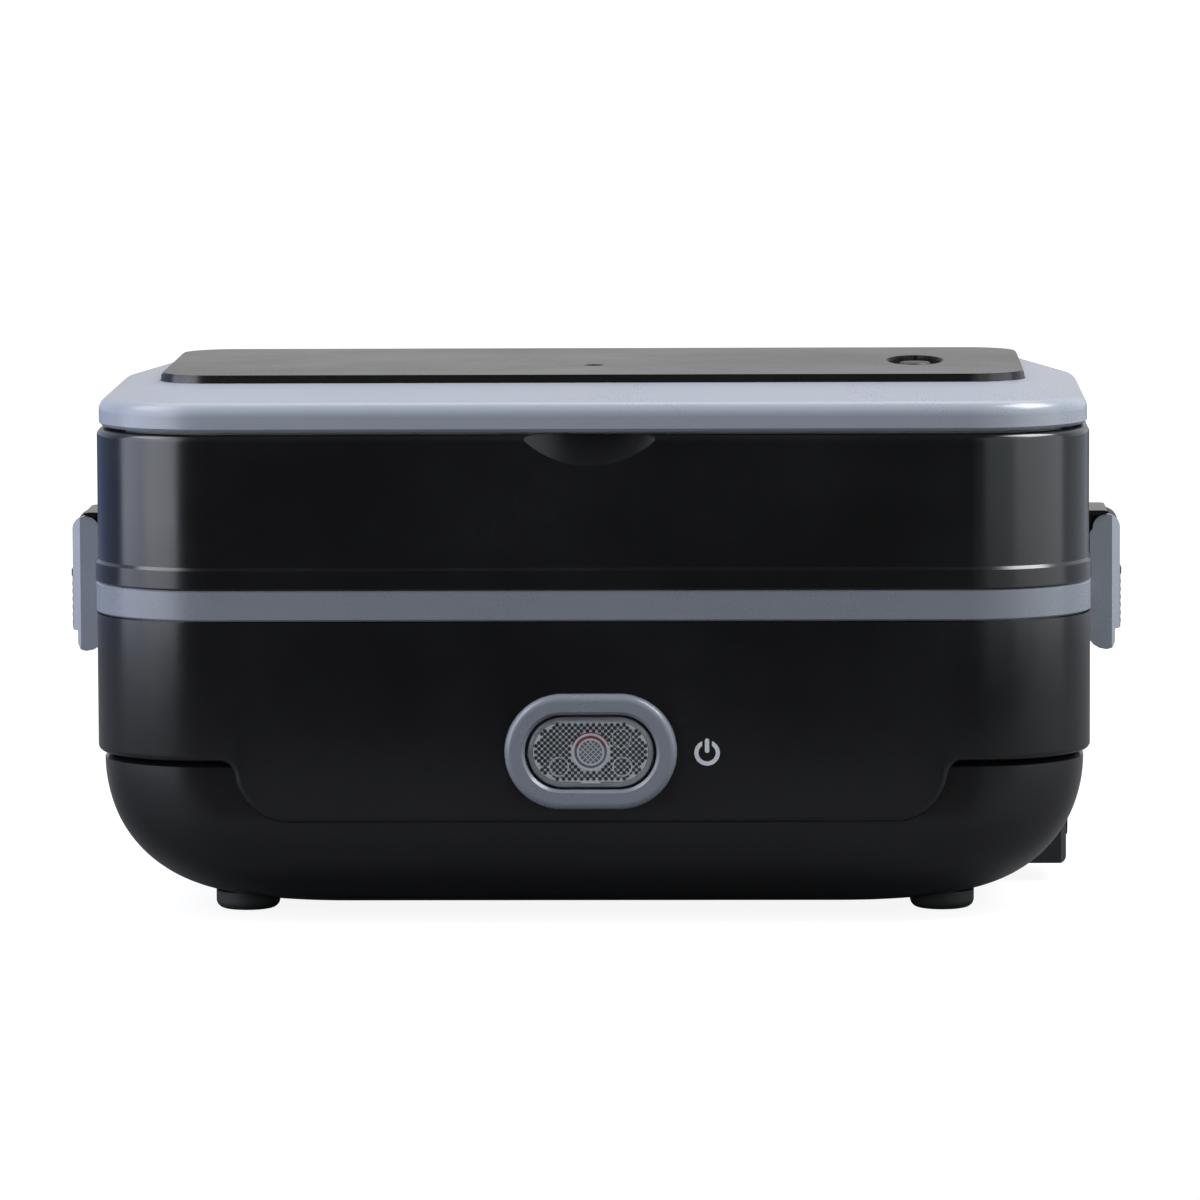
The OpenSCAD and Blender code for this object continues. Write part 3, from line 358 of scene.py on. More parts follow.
dress(black_shell, "base_shell", "bottom_bowl", "upper_shell")
dress(black_panel, "lid_panel")
dress(blue_grey_trim, "collar", "button_bezel")
# The rim and the latches take the trim painted lighter, as painted light.
dress(trim_painted_lighter, "lid_frame", "latch_lever_left", "latch_lever_right")
dress(ribbed_grip, "latch_grip_left", "latch_grip_right")
dress(inlet_black, "inlet_housing", "inlet_socket")
dress(printed_ink, "power_mark")
dress(foot_rubber, "feet")
dress(vent_silicone, "vent_plug")
dress(food_plastic, "upper_tray", "lid_liner")
dress(milky_lid, "lower_tray_lid")
dress(pale_silicone, "tier_seal", "lower_tray_seal", "lid_seal")
dress(lamp_bridge, "lamp_holder")
dress(switch_phenolic, "switch_body", "thermostat")
dress(plunger_red, "switch_plunger")
dress(heater_film, "ptc_heater")
dress(fuse_ceramic, "thermal_fuse")
dress(resistor_lacquer, "lamp_resistor")
dress(sleeve_brown, "live_wire", "fuse_wire")
dress(sleeve_blue, "neutral_wire")
dress(stainless, "heating_pan", "lower_tray")
dress(pressed_aluminium, "heater_clamp")
dress(zinc_steel, "base_screws", "liner_screws", "hinge_pins", "key_spring")
dress(zinc_steel, "latch_pin_left", "latch_pin_right")
dress(plain_brass, "clamp_nuts", "inlet_pins")
dress(clear_acrylic, "power_key")
dress(lamp_glass, "neon_lamp")

# %% [markdown]
# ## Helpers for rebuilt pieces
# Some pieces are better modelled again than taken from the CAD: those with
# swept or lofted walls, whose flat facets would show in a gloss, and those
# that the CAD holds only as a plain stand-in. They are all made the same way.
# Rings of points are skinned into a solid, cutters of the same kind are taken
# off or added, and the finished mesh rides on the body of the part it replaces.

# %% Rings, skins, cutters
ARC_STEPS = 20


def outline(half_w, half_d, radius, steps=ARC_STEPS):
    """A rounded rectangle round the middle, each corner in so many steps"""
    points = []
    for sx, sy, start in ((1, 1, 0), (-1, 1, 90), (-1, -1, 180), (1, -1, 270)):
        for i in range(steps + 1):
            angle = math.radians(start + 90 * i / steps)
            points.append((sx * (half_w - radius) + radius * math.cos(angle),
                           sy * (half_d - radius) + radius * math.sin(angle)))
    return points


def circle(radius, steps, centre=(0.0, 0.0)):
    return [(centre[0] + radius * math.cos(2 * math.pi * i / steps),
             centre[1] + radius * math.sin(2 * math.pi * i / steps)) for i in range(steps)]


def upright(points, z):
    """Points of a plan, placed at height z"""
    return [(x, y, z) for x, y in points]


def facing(points, y):
    """Points of a front view, placed at depth y"""
    return [(x, y, z) for x, z in points]


def skin(work, rings, closed=False):
    """Skins equal rings in millimetres into a bmesh; closed joins the last ring to the first"""
    verts = [[work.verts.new([c * MM for c in point]) for point in ring] for ring in rings]
    count = len(verts[0])
    pairs = list(zip(verts, verts[1:])) + ([(verts[-1], verts[0])] if closed else [])
    for low, high in pairs:
        for i in range(count):
            j = (i + 1) % count
            work.faces.new((low[i], low[j], high[j], high[i]))
    if not closed:
        work.faces.new(verts[0][::-1])
        work.faces.new(verts[-1])


def solid(name, *ring_sets, closed=False):
    """A named object from one or more stacks of rings"""
    work = bmesh.new()
    for rings in ring_sets:
        skin(work, rings, closed)
    bmesh.ops.remove_doubles(work, verts=work.verts, dist=0.000001)
    bmesh.ops.dissolve_degenerate(work, edges=work.edges, dist=0.000001)
    bmesh.ops.recalc_face_normals(work, faces=work.faces)
    mesh = bpy.data.meshes.new(name)
    work.to_mesh(mesh)
    work.free()
    obj = bpy.data.objects.new(name, mesh)
    bpy.context.collection.objects.link(obj)
    return obj


def block(low, high):
    plan = [(low[0], low[1]), (high[0], low[1]), (high[0], high[1]), (low[0], high[1])]
    return [upright(plan, low[2]), upright(plan, high[2])]


def rod_up(x, y, radius, low, high, steps=48):
    return [upright(circle(radius, steps, (x, y)), z) for z in (low, high)]


def carve(obj, operation, *tools):
    """Boolean with each tool in turn, applied, and the tools removed"""
    for tool in tools:
        change = obj.modifiers.new(tool.name, "BOOLEAN")
        change.object, change.operation, change.solver = tool, operation, "EXACT"
    graph = bpy.context.evaluated_depsgraph_get()
    mesh = bpy.data.meshes.new_from_object(obj.evaluated_get(graph))
    obj.modifiers.clear()
    obj.data = mesh
    for tool in tools:
        bpy.data.objects.remove(tool)


def complete(obj, material, body, *stands_for, sharp=32):
    """Finish, smooth shading, a body to ride on, and the CAD part that it replaces"""
    mesh = obj.data
    mesh.materials.clear()
    mesh.materials.append(material)
    mesh.polygons.foreach_set("use_smooth", [True] * len(mesh.polygons))
    mesh.set_sharp_from_angle(angle=math.radians(sharp))
    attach(obj, body)
    if stands_for:
        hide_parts(*stands_for)
    print("rebuilt:", obj.name, len(mesh.polygons), "faces")
    return obj


# %% [markdown]
# ## The bottom bowl
# The bowl is one deep moulding: its floor is flat, and its walls sweep up from
# it, with a large radius at the ends and a smaller one in front and behind. It
# could be turned or sanded out of a block, but a stack of outlines is quicker
# and exact: each level knows how far its sweep has come in. The inner wall is
# the same stack, a wall's thickness further in. Sizes are in millimetres.

# %% Sweep of the bowl
BOWL_W, BOWL_D, BOWL_R = 111.4, 56.8, 25.8
FLOOR, SEAM, WALL = 2.6, 37.0, 2.2
SIDE_SWEEP, FRONT_SWEEP = 33.0, 22.0
BOWL_LEVELS = 44


def swept_in(radius, z, low):
    drop = max(0.0, low + radius - z)
    return radius - math.sqrt(radius ** 2 - drop ** 2)


def bowl_ring(share, inset):
    low = FLOOR + inset
    z = min(SEAM, low + SIDE_SWEEP * (1 - math.cos(math.radians(90 * share))))
    half_w = BOWL_W - inset - swept_in(SIDE_SWEEP - inset, z, low)
    half_d = BOWL_D - inset - swept_in(FRONT_SWEEP - inset, z, low)
    return upright(outline(half_w, half_d, BOWL_R - inset), z)


levels = [k / BOWL_LEVELS for k in range(BOWL_LEVELS + 1)]
bowl = solid("bowl_swept", [bowl_ring(k, 0) for k in levels] + [bowl_ring(k, WALL) for k in reversed(levels)])

# %% [markdown]
# ## What is cut into the bowl
# Four screws come up through the floor, each through a boss of its own, and
# four rubber feet sit in shallow pockets. A notch in front leaves room for the
# key, and an opening at one end for the inlet. All of these have straight
# sides, so rods and blocks are added or taken away. The bosses come before the
# holes, so that each hole goes through its boss as well.

# %% Bosses, holes and openings of the bowl
def four_places(x, y):
    return [(sx * x, sy * y) for sx in (-1, 1) for sy in (-1, 1)]


screw_places = four_places(60, 22)
foot_places = four_places(79.3, 28)
carve(bowl, "UNION", solid("bosses", *[rod_up(x, y, 4.0, FLOOR + 1, FLOOR + 14) for x, y in screw_places]))
carve(bowl, "DIFFERENCE",
      solid("screw_holes", *[rod_up(x, y, 1.7, 0.0, FLOOR + 15) for x, y in screw_places]),
      solid("screw_seats", *[rod_up(x, y, 3.2, 0.0, FLOOR + 2.6) for x, y in screw_places]),
      solid("foot_seats", *[rod_up(x, y, 7.35, 0.0, FLOOR + 1.5) for x, y in foot_places]),
      solid("key_notch", block((-23, -60, 26), (23, -48.3, 40))),
      solid("inlet_way", block((86, 13.9, 4.1), (120, 42.1, 29.1))))
complete(bowl, black_shell, "base", "bottom_bowl")

# %% [markdown]
# ## The base shell and its apron
# The upper part of the base is a straight band with rounded corners. In front
# and behind it hangs lower, as an apron whose ends turn up in a long curve and
# a small outward corner. The lower edge is rounded all the way, and that round
# carries the fine line of light in the picture. The shell is made of columns
# round the box: each starts at the apron's outline, goes over the rounded
# edge, and climbs the outer face and the inner one to the top. The outline of
# one end is drawn first: a flat edge, an arc upwards and a smaller arc out.

# %% The apron's outline
SHELL_W, SHELL_D, SHELL_R = 112.9, 58.3, 27.3
SHELL_TOP, EDGE_R = 68.5, 1.4
APRON_LOW, APRON_FLAT, END_R, END_TURN = 23.2, 67.9, 12.5, 82.0
TOE_R = (SEAM + 0.15 - APRON_LOW) / (1 - math.cos(math.radians(END_TURN))) - END_R


def apron_end():
    """From the flat edge outwards: x, z and the direction that the edge faces"""
    steps = 14
    made = []
    for i in range(steps + 1):
        a = math.radians(END_TURN * i / steps)
        made.append((APRON_FLAT + END_R * math.sin(a), APRON_LOW + END_R * (1 - math.cos(a)), a))
    turn = math.radians(END_TURN)
    toe_x = APRON_FLAT + (END_R + TOE_R) * math.sin(turn)
    toe_z = APRON_LOW + END_R - (END_R + TOE_R) * math.cos(turn)
    for i in range(steps - 1, -1, -1):
        a = math.radians(END_TURN * i / steps)
        made.append((toe_x - TOE_R * math.sin(a), min(SEAM, toe_z + TOE_R * math.cos(a)), a))
    return made


# %% [markdown]
# ## The shell, column by column
# The columns go once round the box: a corner, the back with its apron, two
# corners, the front with its apron, and the last corner. Where the apron's end
# rises, the rounded edge has to face along the wall, so each column is told
# how far its edge leans. The inner face has a shelf that the collar sits on.

# %% Columns round the shell
SHELF_IN, SHELF_LOW, SHELF_TOP = 8, 65.2, 68.2


def shell_columns():
    """Plan point, plan normal, height of the edge, and the way the edge faces along the wall"""
    right = apron_end()
    half = [(-x, z, -a) for x, z, a in reversed(right)]
    middle = [(x, APRON_LOW, 0.0) for x in range(-60, 61, 20)]
    front = half + middle + right
    plan = zip(outline(SHELL_W, SHELL_D, SHELL_R), outline(1, 1, 1))
    corners = [(point, normal, SEAM, 0.0) for point, normal in plan]
    back_side = [((x, SHELL_D), (0, 1), z, -a) for x, z, a in reversed(front)]
    front_side = [((x, -SHELL_D), (0, -1), z, a) for x, z, a in front]
    quarter = ARC_STEPS + 1
    return (corners[:quarter] + back_side + corners[quarter:3 * quarter] + front_side
            + corners[3 * quarter:])


def shell_rows(column):
    (x, y), (nx, ny), edge, lean = column
    along = (-ny, nx)

    def at(depth, shift, z):
        return (x - nx * depth + along[0] * shift, y - ny * depth + along[1] * shift, z)

    rows = []
    for step in range(0, 91, 15):
        turn = math.radians(step)
        back = EDGE_R * (1 - math.sin(turn))
        rows.append(at(EDGE_R * (1 - math.cos(turn)), -back * math.sin(lean), edge + back * math.cos(lean)))
    rows.append(at(EDGE_R, 0, max(edge, SEAM)))
    inner_face = ((WALL, SEAM), (WALL, SHELF_LOW), (SHELF_IN, SHELF_LOW), (SHELF_IN, SHELF_TOP),
                  (WALL, SHELF_TOP), (WALL, SHELL_TOP), (0, SHELL_TOP))
    for depth, z in inner_face:
        rows.append(at(depth, 0, z))
    return rows


columns = [shell_rows(column) for column in shell_columns()]
rings = [list(ring) for ring in zip(*columns)]
shell = solid("shell_with_apron", rings, closed=True)

# %% [markdown]
# ## What is joined to the shell
# Inside, four arms reach from the wall to the posts of the screws. Outside, a
# short rib on each side is what the latch hooks under. They are plain solids
# that reach a little into the wall, so that joining leaves no seam. The opening
# for the key is cut last, as a rounded bar through the front wall.

# %% Arms, posts, latch ribs and the hole for the key
KEY_Z, KEY_FACE = 39.4, -60.6


def on_key(plan, y):
    """An outline seen from the front, placed at the key's height and at depth y"""
    return facing([(x, z + KEY_Z) for x, z in plan], y)


def slab(plan, front, back):
    """A flat plate of that outline, between two depths"""
    return [on_key(plan, front), on_key(plan, back)]


def arm(x, way):
    """A bracket from the wall to a post, seen from the side and two millimetres thick each way"""
    profile = [(22, 24.5), (51.5, 24.5), (51.5, 38), (57.4, 38), (57.4, 40), (46, 40), (46, 27), (22, 27)]
    return [[(x + side, way * y, z) for y, z in profile] for side in (-2, 2)]


ribs = [block((x - 1, -7, 65), (x + 1, 7, 66.8)) for x in (-113.4, 113.4)]
carve(shell, "UNION",
      solid("arms", *[arm(x, way) for x in (-60, 60) for way in (-1, 1)]),
      solid("posts", *[rod_up(x, y, 4.0, 17.0, 26.0) for x, y in screw_places]),
      solid("latch_ribs", *ribs))
carve(shell, "DIFFERENCE",
      solid("post_bores", *[rod_up(x, y, 1.25, 16.0, 24.0, 24) for x, y in screw_places]),
      solid("key_way", slab(outline(17, 10.8, 10.8, 16), -62, -53.9)))
complete(shell, black_shell, "base", "base_shell")

# %% [markdown]
# ## The clear key
# The key is one clear moulding. From the front it shows a cap with a rounded
# edge, and close behind its face a sheet of tiny prisms, like a bicycle
# reflector. The pieces behind the face are not clear but painted, from bright
# to dark, as painted light and shade for what the clear prisms show, because
# so many clear faces behind one another would only blur together.

# %% Finishes of the key
# Painted light and shade: the clear pieces behind the key's face are painted bright, grey, dark and red in
# place of the light and shade seen through them.
clear_painted_light = plastic("clear_painted_light", (0.86, 0.87, 0.89), (0.92, 0.925, 0.93), 0.22, 0.000004, grain=1500.0)
prism_painted_shade = plastic("prism_painted_shade", (0.012, 0.012, 0.014), (0.05, 0.05, 0.055), 0.2, 0.000004, grain=1500.0)
boss_painted_shade = plastic("boss_painted_shade", (0.17, 0.17, 0.18), (0.27, 0.27, 0.28), 0.25, 0.000004, grain=1500.0)
border_painted_shade = plastic("border_painted_shade", (0.24, 0.245, 0.26), (0.33, 0.335, 0.35), 0.2, 0.000003, grain=1500.0)
# Red painted for the lamp's glint: a painted reflection.
painted_lamp_glint = plastic("painted_lamp_glint", (0.28, 0.06, 0.06), (0.38, 0.1, 0.1), 0.25, 0.000004, grain=1500.0)

# %% [markdown]
# ## The cap of the key
# The cap is a stack of outlines: the face, the rounded edge, the side, the
# flange behind, and back along the inside. The flange is what keeps the key
# in its opening. Each outline is given by how far it has grown from the side
# and how deep it lies behind the face.

# %% Cap of the key
CAP_W, CAP_H = 14.3, 8.1


def key_ring(grow, depth):
    half_h = CAP_H + grow
    return on_key(outline(CAP_W + grow, half_h, half_h), KEY_FACE + depth)


cap_section = [(-1.2, 0.0), (-0.7, 0.1), (-0.3, 0.35), (-0.08, 0.75), (0.0, 1.2), (0.0, 4.8), (1.4, 4.8),
               (1.4, 5.6), (-1.1, 5.6), (-1.1, 1.2), (-1.4, 0.7)]
complete(solid("key_cap", [key_ring(grow, depth) for grow, depth in cap_section]),
         clear_acrylic, "power_key", "power_key", sharp=40)

# %% [markdown]
# ## The sheet of prisms
# From the front each prism looks dark, and the ridges between them light. A
# plate painted light, as painted light of the ridges, therefore carries low
# domes painted dark, as painted shade of the prisms, set out on a diamond grid
# that stops at the plate's edge and round the boss. A border painted grey, as
# painted shade, with one line painted bright, as a painted highlight, fills the
# way out to the cap. A painted pattern would look the same from straight ahead,
# but only real domes keep their sparkle from the side. All of it lies close
# behind the face, so that the lamp keeps its room when the key is pressed.

# %% Border, plate and prisms
PLATE_Y = KEY_FACE + 1.3
PLATE_W, PLATE_H, PLATE_T = 12.9, 6.7, 0.5
PRISM_PITCH_X, PRISM_PITCH_Z, PRISM_R, PRISM_HIGH = 1.36, 0.67, 0.47, 0.3
SUNK = 0.02


def frame_ring(name, material, section):
    """A closed ring round the plate; the section gives half height and depth from the plate's front"""
    spare = PLATE_W - PLATE_H
    rings = [on_key(outline(spare + half_h, half_h, half_h), PLATE_Y + depth) for half_h, depth in section]
    complete(solid(name, rings, closed=True), material, "power_key")


def dome(x, z, top):
    """A low dome on the plate; depth runs backwards, so that height comes to the front"""
    levels = ((1.0, 0.0), (0.86, 0.5), (0.5, 0.86), (0.16, 1.0))
    return [on_key(circle(PRISM_R * wide, 8, (x, z)), top - PRISM_HIGH * high) for wide, high in levels]


def inside(x, z, half_w, half_h):
    reach = max(abs(x) - (half_w - half_h), 0.0)
    return math.hypot(reach, z) < half_h


# Border painted grey as shade, with one line painted bright as a highlight.
frame_ring("key_border", border_painted_shade, ((7.7, -0.6), (6.8, -0.2), (6.8, 0.1), (7.7, 0.1)))
frame_ring("border_line", clear_painted_light, ((6.75, -0.3), (6.91, -0.3), (6.91, -0.1), (6.75, -0.1)))
# The plate is painted light: painted light of the ridges between the prisms.
plate = slab(outline(PLATE_W, PLATE_H, PLATE_H), PLATE_Y, PLATE_Y + PLATE_T)
complete(solid("prism_plate", plate), clear_painted_light, "power_key")
prisms = []
for row in range(-10, 11):
    for step in range(-10, 11):
        x, z = (step + 0.5 * (row % 2)) * PRISM_PITCH_X, row * PRISM_PITCH_Z
        if inside(x, z, PLATE_W - 0.4, PLATE_H - 0.4) and math.hypot(x, z) > 4.4:
            prisms.append(dome(x, z, PLATE_Y + SUNK))
# The domes are painted dark: painted shade of the prisms.
complete(solid("prisms", *prisms), prism_painted_shade, "power_key", sharp=60)
print("prisms:", len(prisms))

# %% [markdown]
# ## The boss over the lamp
# In the middle a round boss painted grey, as painted shade, stands over the
# lamp, with two rings painted bright, as painted highlights, and a coarser mesh
# painted bright inside them. The lamp's red glint is painted as a red bow over
# its top, a painted reflection. Three thin circles painted bright mark where the
# guide posts stand behind the sheet, and a short clip painted bright shows at
# the lower edge. Rings are tubes bent round, the rest is flat.

# %% Boss, rings, circles and clip
BOSS_R, MESH_R, MESH_PITCH, MESH_HALF = 4.1, 2.7, 0.82, 0.08


def hoops(name, places, y):
    """Rings that lie in the plate's front; each place gives x, z, radius and thickness"""
    around = [2 * math.pi * i / 48 for i in range(48)]
    tubes = [[[(x + (radius + a) * math.cos(t), y + b, KEY_Z + z + (radius + a) * math.sin(t))
               for t in around] for a, b in circle(thick, 8)] for x, z, radius, thick in places]
    complete(solid(name, *tubes, closed=True), clear_painted_light, "power_key")


def glint(low, high, inner, outer, steps=24):
    """A bow between two radii, from one angle to another"""
    bow = [math.radians(low + (high - low) * i / steps) for i in range(steps + 1)]
    return ([(outer * math.cos(t), outer * math.sin(t)) for t in bow]
            + [(inner * math.cos(t), inner * math.sin(t)) for t in reversed(bow)])


def mesh_bar(offset, way):
    """A thin ridge across the boss, at 45 degrees, cut to the inner ring"""
    reach = math.sqrt(max(MESH_R ** 2 - offset ** 2, 0.0))
    c = math.sqrt(0.5)
    ends = [(-reach, -MESH_HALF), (reach, -MESH_HALF), (reach, MESH_HALF), (-reach, MESH_HALF)]
    return [((u - way * (v + offset)) * c, (way * u + v + offset) * c) for u, v in ends]


# Boss painted grey as shade; rings, circles, mesh and clip painted bright as highlights.
complete(solid("boss_face", slab(circle(BOSS_R, 48), PLATE_Y - 0.25, PLATE_Y + SUNK)), boss_painted_shade, "power_key")
hoops("boss_rings", [(0, 0, 3.95, 0.3), (0, 0, 2.85, 0.22)], PLATE_Y - 0.25)
hoops("post_circles", [(-7.1, -3.3, 2.1, 0.15), (7.1, -3.3, 2.1, 0.15), (6.9, 3.0, 2.1, 0.08)], PLATE_Y - 0.3)
# Painted reflection: the lamp's red glint, painted as a red bow on the boss.
complete(solid("boss_glint", slab(glint(20, 160, 3.05, 4.5), PLATE_Y - 0.33, PLATE_Y - 0.2)),
         painted_lamp_glint, "power_key")
bars = [mesh_bar(k * MESH_PITCH, way) for k in range(-2, 3) for way in (-1, 1)]
complete(solid("boss_mesh", *[slab(bar, PLATE_Y - 0.36, PLATE_Y - 0.2) for bar in bars]),
         clear_painted_light, "power_key")
clip = block((-2.2, PLATE_Y - 0.6, KEY_Z - 6.98), (2.2, PLATE_Y + PLATE_T, KEY_Z - 6.72))
complete(solid("key_clip", clip), clear_painted_light, "power_key")
posts = [slab(circle(2.0, 24, (x, z)), PLATE_Y + PLATE_T, KEY_FACE + 5.0) for x in (-7, 7) for z in (-3.2, 3.2)]
complete(solid("guide_posts", *posts), clear_painted_light, "power_key")

# %% [markdown]
# ## Round tubes
# Springs and wires are both round tubes along a route. A curve with a round
# bevel could draw them too, but rings of points are made like all the other
# pieces. The tube carries its own sense of up from point to point, so that it
# never twists. A route of a few points is first made smooth, with a curve that
# goes through all of them.

# %% Tubes along a route
def tube(route, radius, sides=10):
    rings = []
    last = len(route) - 1
    up = Vector((0.0, 0.0, 1.0))
    for i, point in enumerate(route):
        ahead = (Vector(route[min(i + 1, last)]) - Vector(route[max(i - 1, 0)])).normalized()
        if i == 0 and abs(ahead.z) > 0.8:
            up = Vector((0.0, 1.0, 0.0))
        across = ahead.cross(up).normalized()
        up = across.cross(ahead)
        rings.append([tuple(Vector(point) + radius * (math.cos(t) * across + math.sin(t) * up))
                      for t in (2 * math.pi * k / sides for k in range(sides))])
    return rings


def through(points, steps=8):
    """A smooth curve through the points"""
    made = []
    ends = [points[0], *points, points[-1]]
    for a, b, c, d in zip(ends, ends[1:], ends[2:], ends[3:]):
        a, b, c, d = map(Vector, (a, b, c, d))
        for k in range(steps):
            t = k / steps
            made.append(0.5 * (2 * b + (c - a) * t + (2 * a - 5 * b + 4 * c - d) * t ** 2
                               + (3 * b - a - 3 * c + d) * t ** 3))
    return [tuple(p) for p in made] + [points[-1]]


# %% [markdown]
# ## The springs
# The key is pushed back by two small coil springs of steel wire, which the CAD
# holds as plain sleeves. A point that runs round while it moves on draws each
# coil. Both stay in one piece, with the back ends at rest on the bridge.

# %% Coils behind the key
COIL_FROM, COIL_TO, COIL_Z = -55.6, -50.1, 36.2
COIL_R, COIL_WIRE, COIL_TURNS, COIL_STEPS = 1.38, 0.2, 5.5, 132
END_GAP = 0.22


def coil(x):
    route = []
    for i in range(COIL_STEPS + 1):
        share = i / COIL_STEPS
        angle = 2 * math.pi * COIL_TURNS * share
        y = COIL_FROM + END_GAP + (COIL_TO - COIL_FROM - 2 * END_GAP) * share
        route.append((x + COIL_R * math.cos(angle), y, COIL_Z + COIL_R * math.sin(angle)))
    return tube(route, COIL_WIRE, 6)


coils = complete(solid("key_coils", coil(-7), coil(7)), zinc_steel, "base", "key_spring")
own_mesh(coils)

# %% [markdown]
# ## The wires
# Three wires join the inlet, the fuse, the thermostat and the heater, under
# the pan. Each is drawn through the points where it leaves one part, bends and
# reaches the next, as a stiff sleeve does on its own. Brown is the live side
# and blue the neutral one.

# %% Wires
WIRE_R = 0.9
routes = {
    "live_wire": (sleeve_brown, [(85.8, 23.7, 17), (80, 23.7, 17), (74, 22, 16), (69, 16, 14), (64, 8, 13),
                                 (60, 2, 15), (57, 0, 19), (57, 0, 24), (57, 0, 25.8)]),
    "neutral_wire": (sleeve_blue, [(85.8, 32.3, 17), (80, 32.3, 17), (70, 33, 15), (56, 32, 13), (40, 30, 12),
                                   (24, 30, 12), (6, 29, 12), (-6, 26, 14), (-8, 22, 19), (-8, 20.5, 24),
                                   (-8, 20.4, 26.6)]),
    "fuse_wire": (sleeve_brown, [(35.6, 0, 25.9), (35.6, 0, 23.4), (35.6, 6, 21), (35.8, 14, 22),
                                 (35.4, 20, 25), (34, 23.6, 27), (32, 24, 27.4), (30.2, 24, 27.4)]),
}
for name, (material, route) in routes.items():
    complete(solid(name + "_round", tube(through(route), WIRE_R)), material, "base", name, sharp=60)

# %% [markdown]
# ## The table
# The table is a plain board that ends a little in front of the box, so that
# the black front mirrors the dark room before it, as in the picture, and runs
# far back behind it. For the camera it glows, fully white away from the box
# and a little less beside it: a painted shade round the box, in which the
# shadow that the lamps cast stays. It throws little light back, so that the
# black bowl above it stays dark.

# %% Table
TABLE_FRONT, TABLE_BACK, TABLE_SIDE, TABLE_TOP = -0.24, 9.0, 3.0, -0.00002
# The weaker glow near the box is painted shade round it.
GLOW_NEAR, GLOW_FAR = (0.25, 0.9), (0.8, 1.03)


def table_board():
    mesh = bpy.data.meshes.new("table")
    corners = [(-TABLE_SIDE, TABLE_FRONT), (TABLE_SIDE, TABLE_FRONT),
               (TABLE_SIDE, TABLE_BACK), (-TABLE_SIDE, TABLE_BACK)]
    mesh.from_pydata([(x, y, TABLE_TOP) for x, y in corners], [], [(0, 1, 2, 3)])
    board = bpy.data.objects.new("table", mesh)
    bpy.context.collection.objects.link(board)
    material, tree, shader = shader_of("pale_board")
    shader.inputs["Base Color"].default_value = (0.1, 0.1, 0.1, 1)
    shader.inputs["Roughness"].default_value = 0.7
    shader.inputs["Emission Color"].default_value = (1, 1, 1, 1)
    ray = add(tree, "ShaderNodeLightPath")
    away = add(tree, "ShaderNodeVectorMath", operation="LENGTH")
    tree.links.new(add(tree, "ShaderNodeTexCoord").outputs["Object"], away.inputs[0])
    glow = math_node(tree, "MULTIPLY", ray.outputs["Is Camera Ray"],
                     spread(tree, away.outputs["Value"], GLOW_NEAR[0], GLOW_FAR[0], GLOW_NEAR[1], GLOW_FAR[1]))
    tree.links.new(glow, shader.inputs["Emission Strength"])
    mesh.materials.append(material)


table_board()

# %% [markdown]
# ## The room
# The room is white for the camera, so the picture has a white background. For
# mirrors it is pale behind the box, which shows in the lid's panel, and nearly
# dark in front of it, which keeps the black front black. It adds next to
# nothing to the light on the box: that comes from the lamps.

# %% World
ROOM_IN_FRONT, ROOM_BEHIND, ROOM_FILL = 0.045, 0.52, 0.1
world = bpy.data.worlds.new("room")
world.use_nodes = True
bpy.context.scene.world = world
tree = world.node_tree
sky = tree.nodes["Background"]
ray = add(tree, "ShaderNodeLightPath")
side = add(tree, "ShaderNodeSeparateXYZ")
tree.links.new(add(tree, "ShaderNodeTexCoord").outputs["Generated"], side.inputs[0])
behind = spread(tree, side.outputs["Y"], 0.2, 0.55, 0.0, 1.0)
mirrored = math_node(tree, "ADD", ROOM_IN_FRONT, math_node(tree, "MULTIPLY", behind, ROOM_BEHIND))
clear_ray = math_node(tree, "MAXIMUM", ray.outputs["Is Glossy Ray"], ray.outputs["Is Transmission Ray"])
lit = math_node(tree, "ADD", math_node(tree, "MULTIPLY", clear_ray, mirrored),
                math_node(tree, "MULTIPLY", math_node(tree, "SUBTRACT", 1.0, clear_ray), ROOM_FILL))
strength = add(tree, "ShaderNodeMix", data_type="FLOAT")
tree.links.new(ray.outputs["Is Camera Ray"], strength.inputs["Factor"])
tree.links.new(lit, strength.inputs["A"])
strength.inputs["B"].default_value = 1.0
tree.links.new(strength.outputs["Result"], sky.inputs["Strength"])
sky.inputs["Color"].default_value = (1, 1, 1, 1)

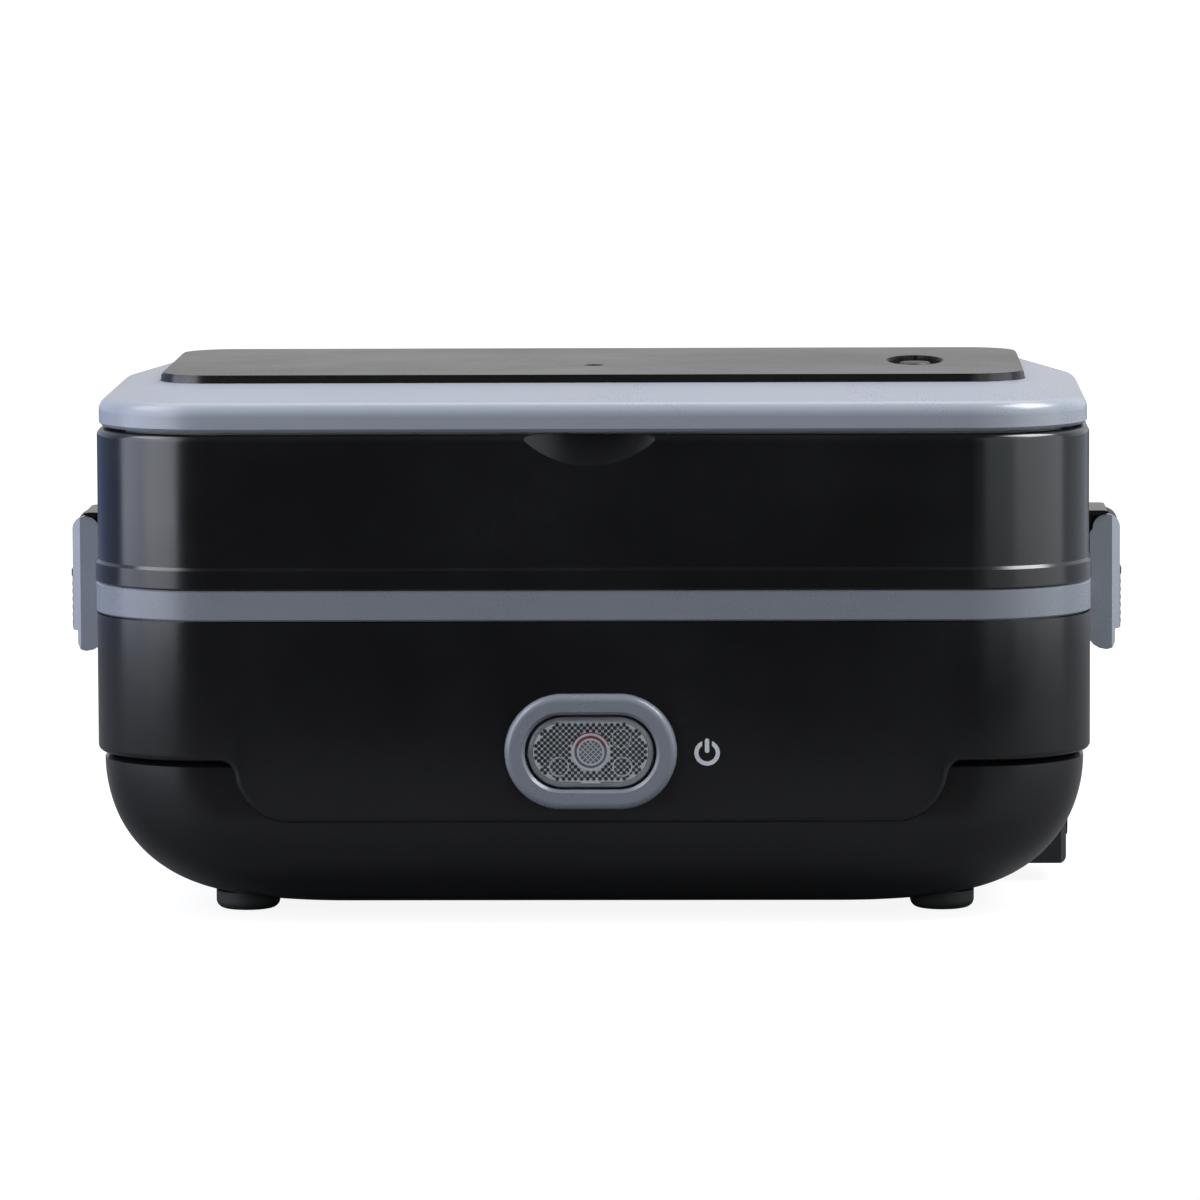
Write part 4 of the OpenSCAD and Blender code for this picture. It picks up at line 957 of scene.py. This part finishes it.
# %% [markdown]
# ## The lamps
# Six upright panels stand in a ring round the box. Their mirrored edges make
# the soft bands on the black corners: broad and bright on the left, weaker on
# the right. Three boxes hang above, one behind and one on each side, and give
# the blue-grey rim its light without showing in the black walls.

# %% Softboxes
RING_R, PANEL_HIGH = 0.75, 0.75
OVER_BOX = (0, 0, 0.06)


def softbox(name, centre, aim, width, height, radiance, colour):
    """A rectangular lamp of even radiance that the camera doesn't see"""
    data = bpy.data.lights.new(name, "AREA")
    data.shape = "RECTANGLE"
    data.size, data.size_y = width, height
    data.energy = radiance * math.pi * width * height
    data.color = colour
    box = bpy.data.objects.new(name, data)
    box.location = centre
    box.rotation_mode = "QUATERNION"
    box.rotation_quaternion = (Vector(aim) - Vector(centre)).to_track_quat("-Z", "Y")
    bpy.context.collection.objects.link(box)
    box.visible_camera = False
    print("softbox", name, "power", round(data.energy, 1))


def screen(name, start, end, radiance, colour):
    """An upright panel of the ring, between two angles counted from the front to the right"""
    ends = [Vector((RING_R * math.sin(math.radians(a)), -RING_R * math.cos(math.radians(a)), PANEL_HIGH / 2))
            for a in (start, end)]
    middle = (ends[0] + ends[1]) / 2
    softbox(name, middle, (0.0, 0.0, middle.z), (ends[1] - ends[0]).length, PANEL_HIGH, radiance, colour)


screen("left_front", -38, -68, 4.3, (0.96, 1.0, 1.12))
screen("left_side", -68, -95, 3.2, (0.93, 1.0, 1.22))
screen("left_back", -95, -150, 0.13, (0.5, 1.0, 2.4))
screen("right_front", 18, 45, 1.02, (0.9, 1.0, 1.01))
screen("right_side", 45, 95, 2.0, (0.94, 1.0, 1.05))
screen("right_back", 95, 150, 0.46, (0.9, 1.0, 1.2))
softbox("top_back", (0.0, 0.35, 0.95), OVER_BOX, 1.0, 0.5, 2.2, (1.12, 1.0, 0.92))
softbox("top_right", (0.75, -0.1, 0.95), OVER_BOX, 0.6, 0.6, 15.0, (0.98, 1.0, 1.05))
softbox("top_left", (-0.75, -0.1, 0.95), OVER_BOX, 0.6, 0.6, 6.0, (0.98, 1.0, 1.05))
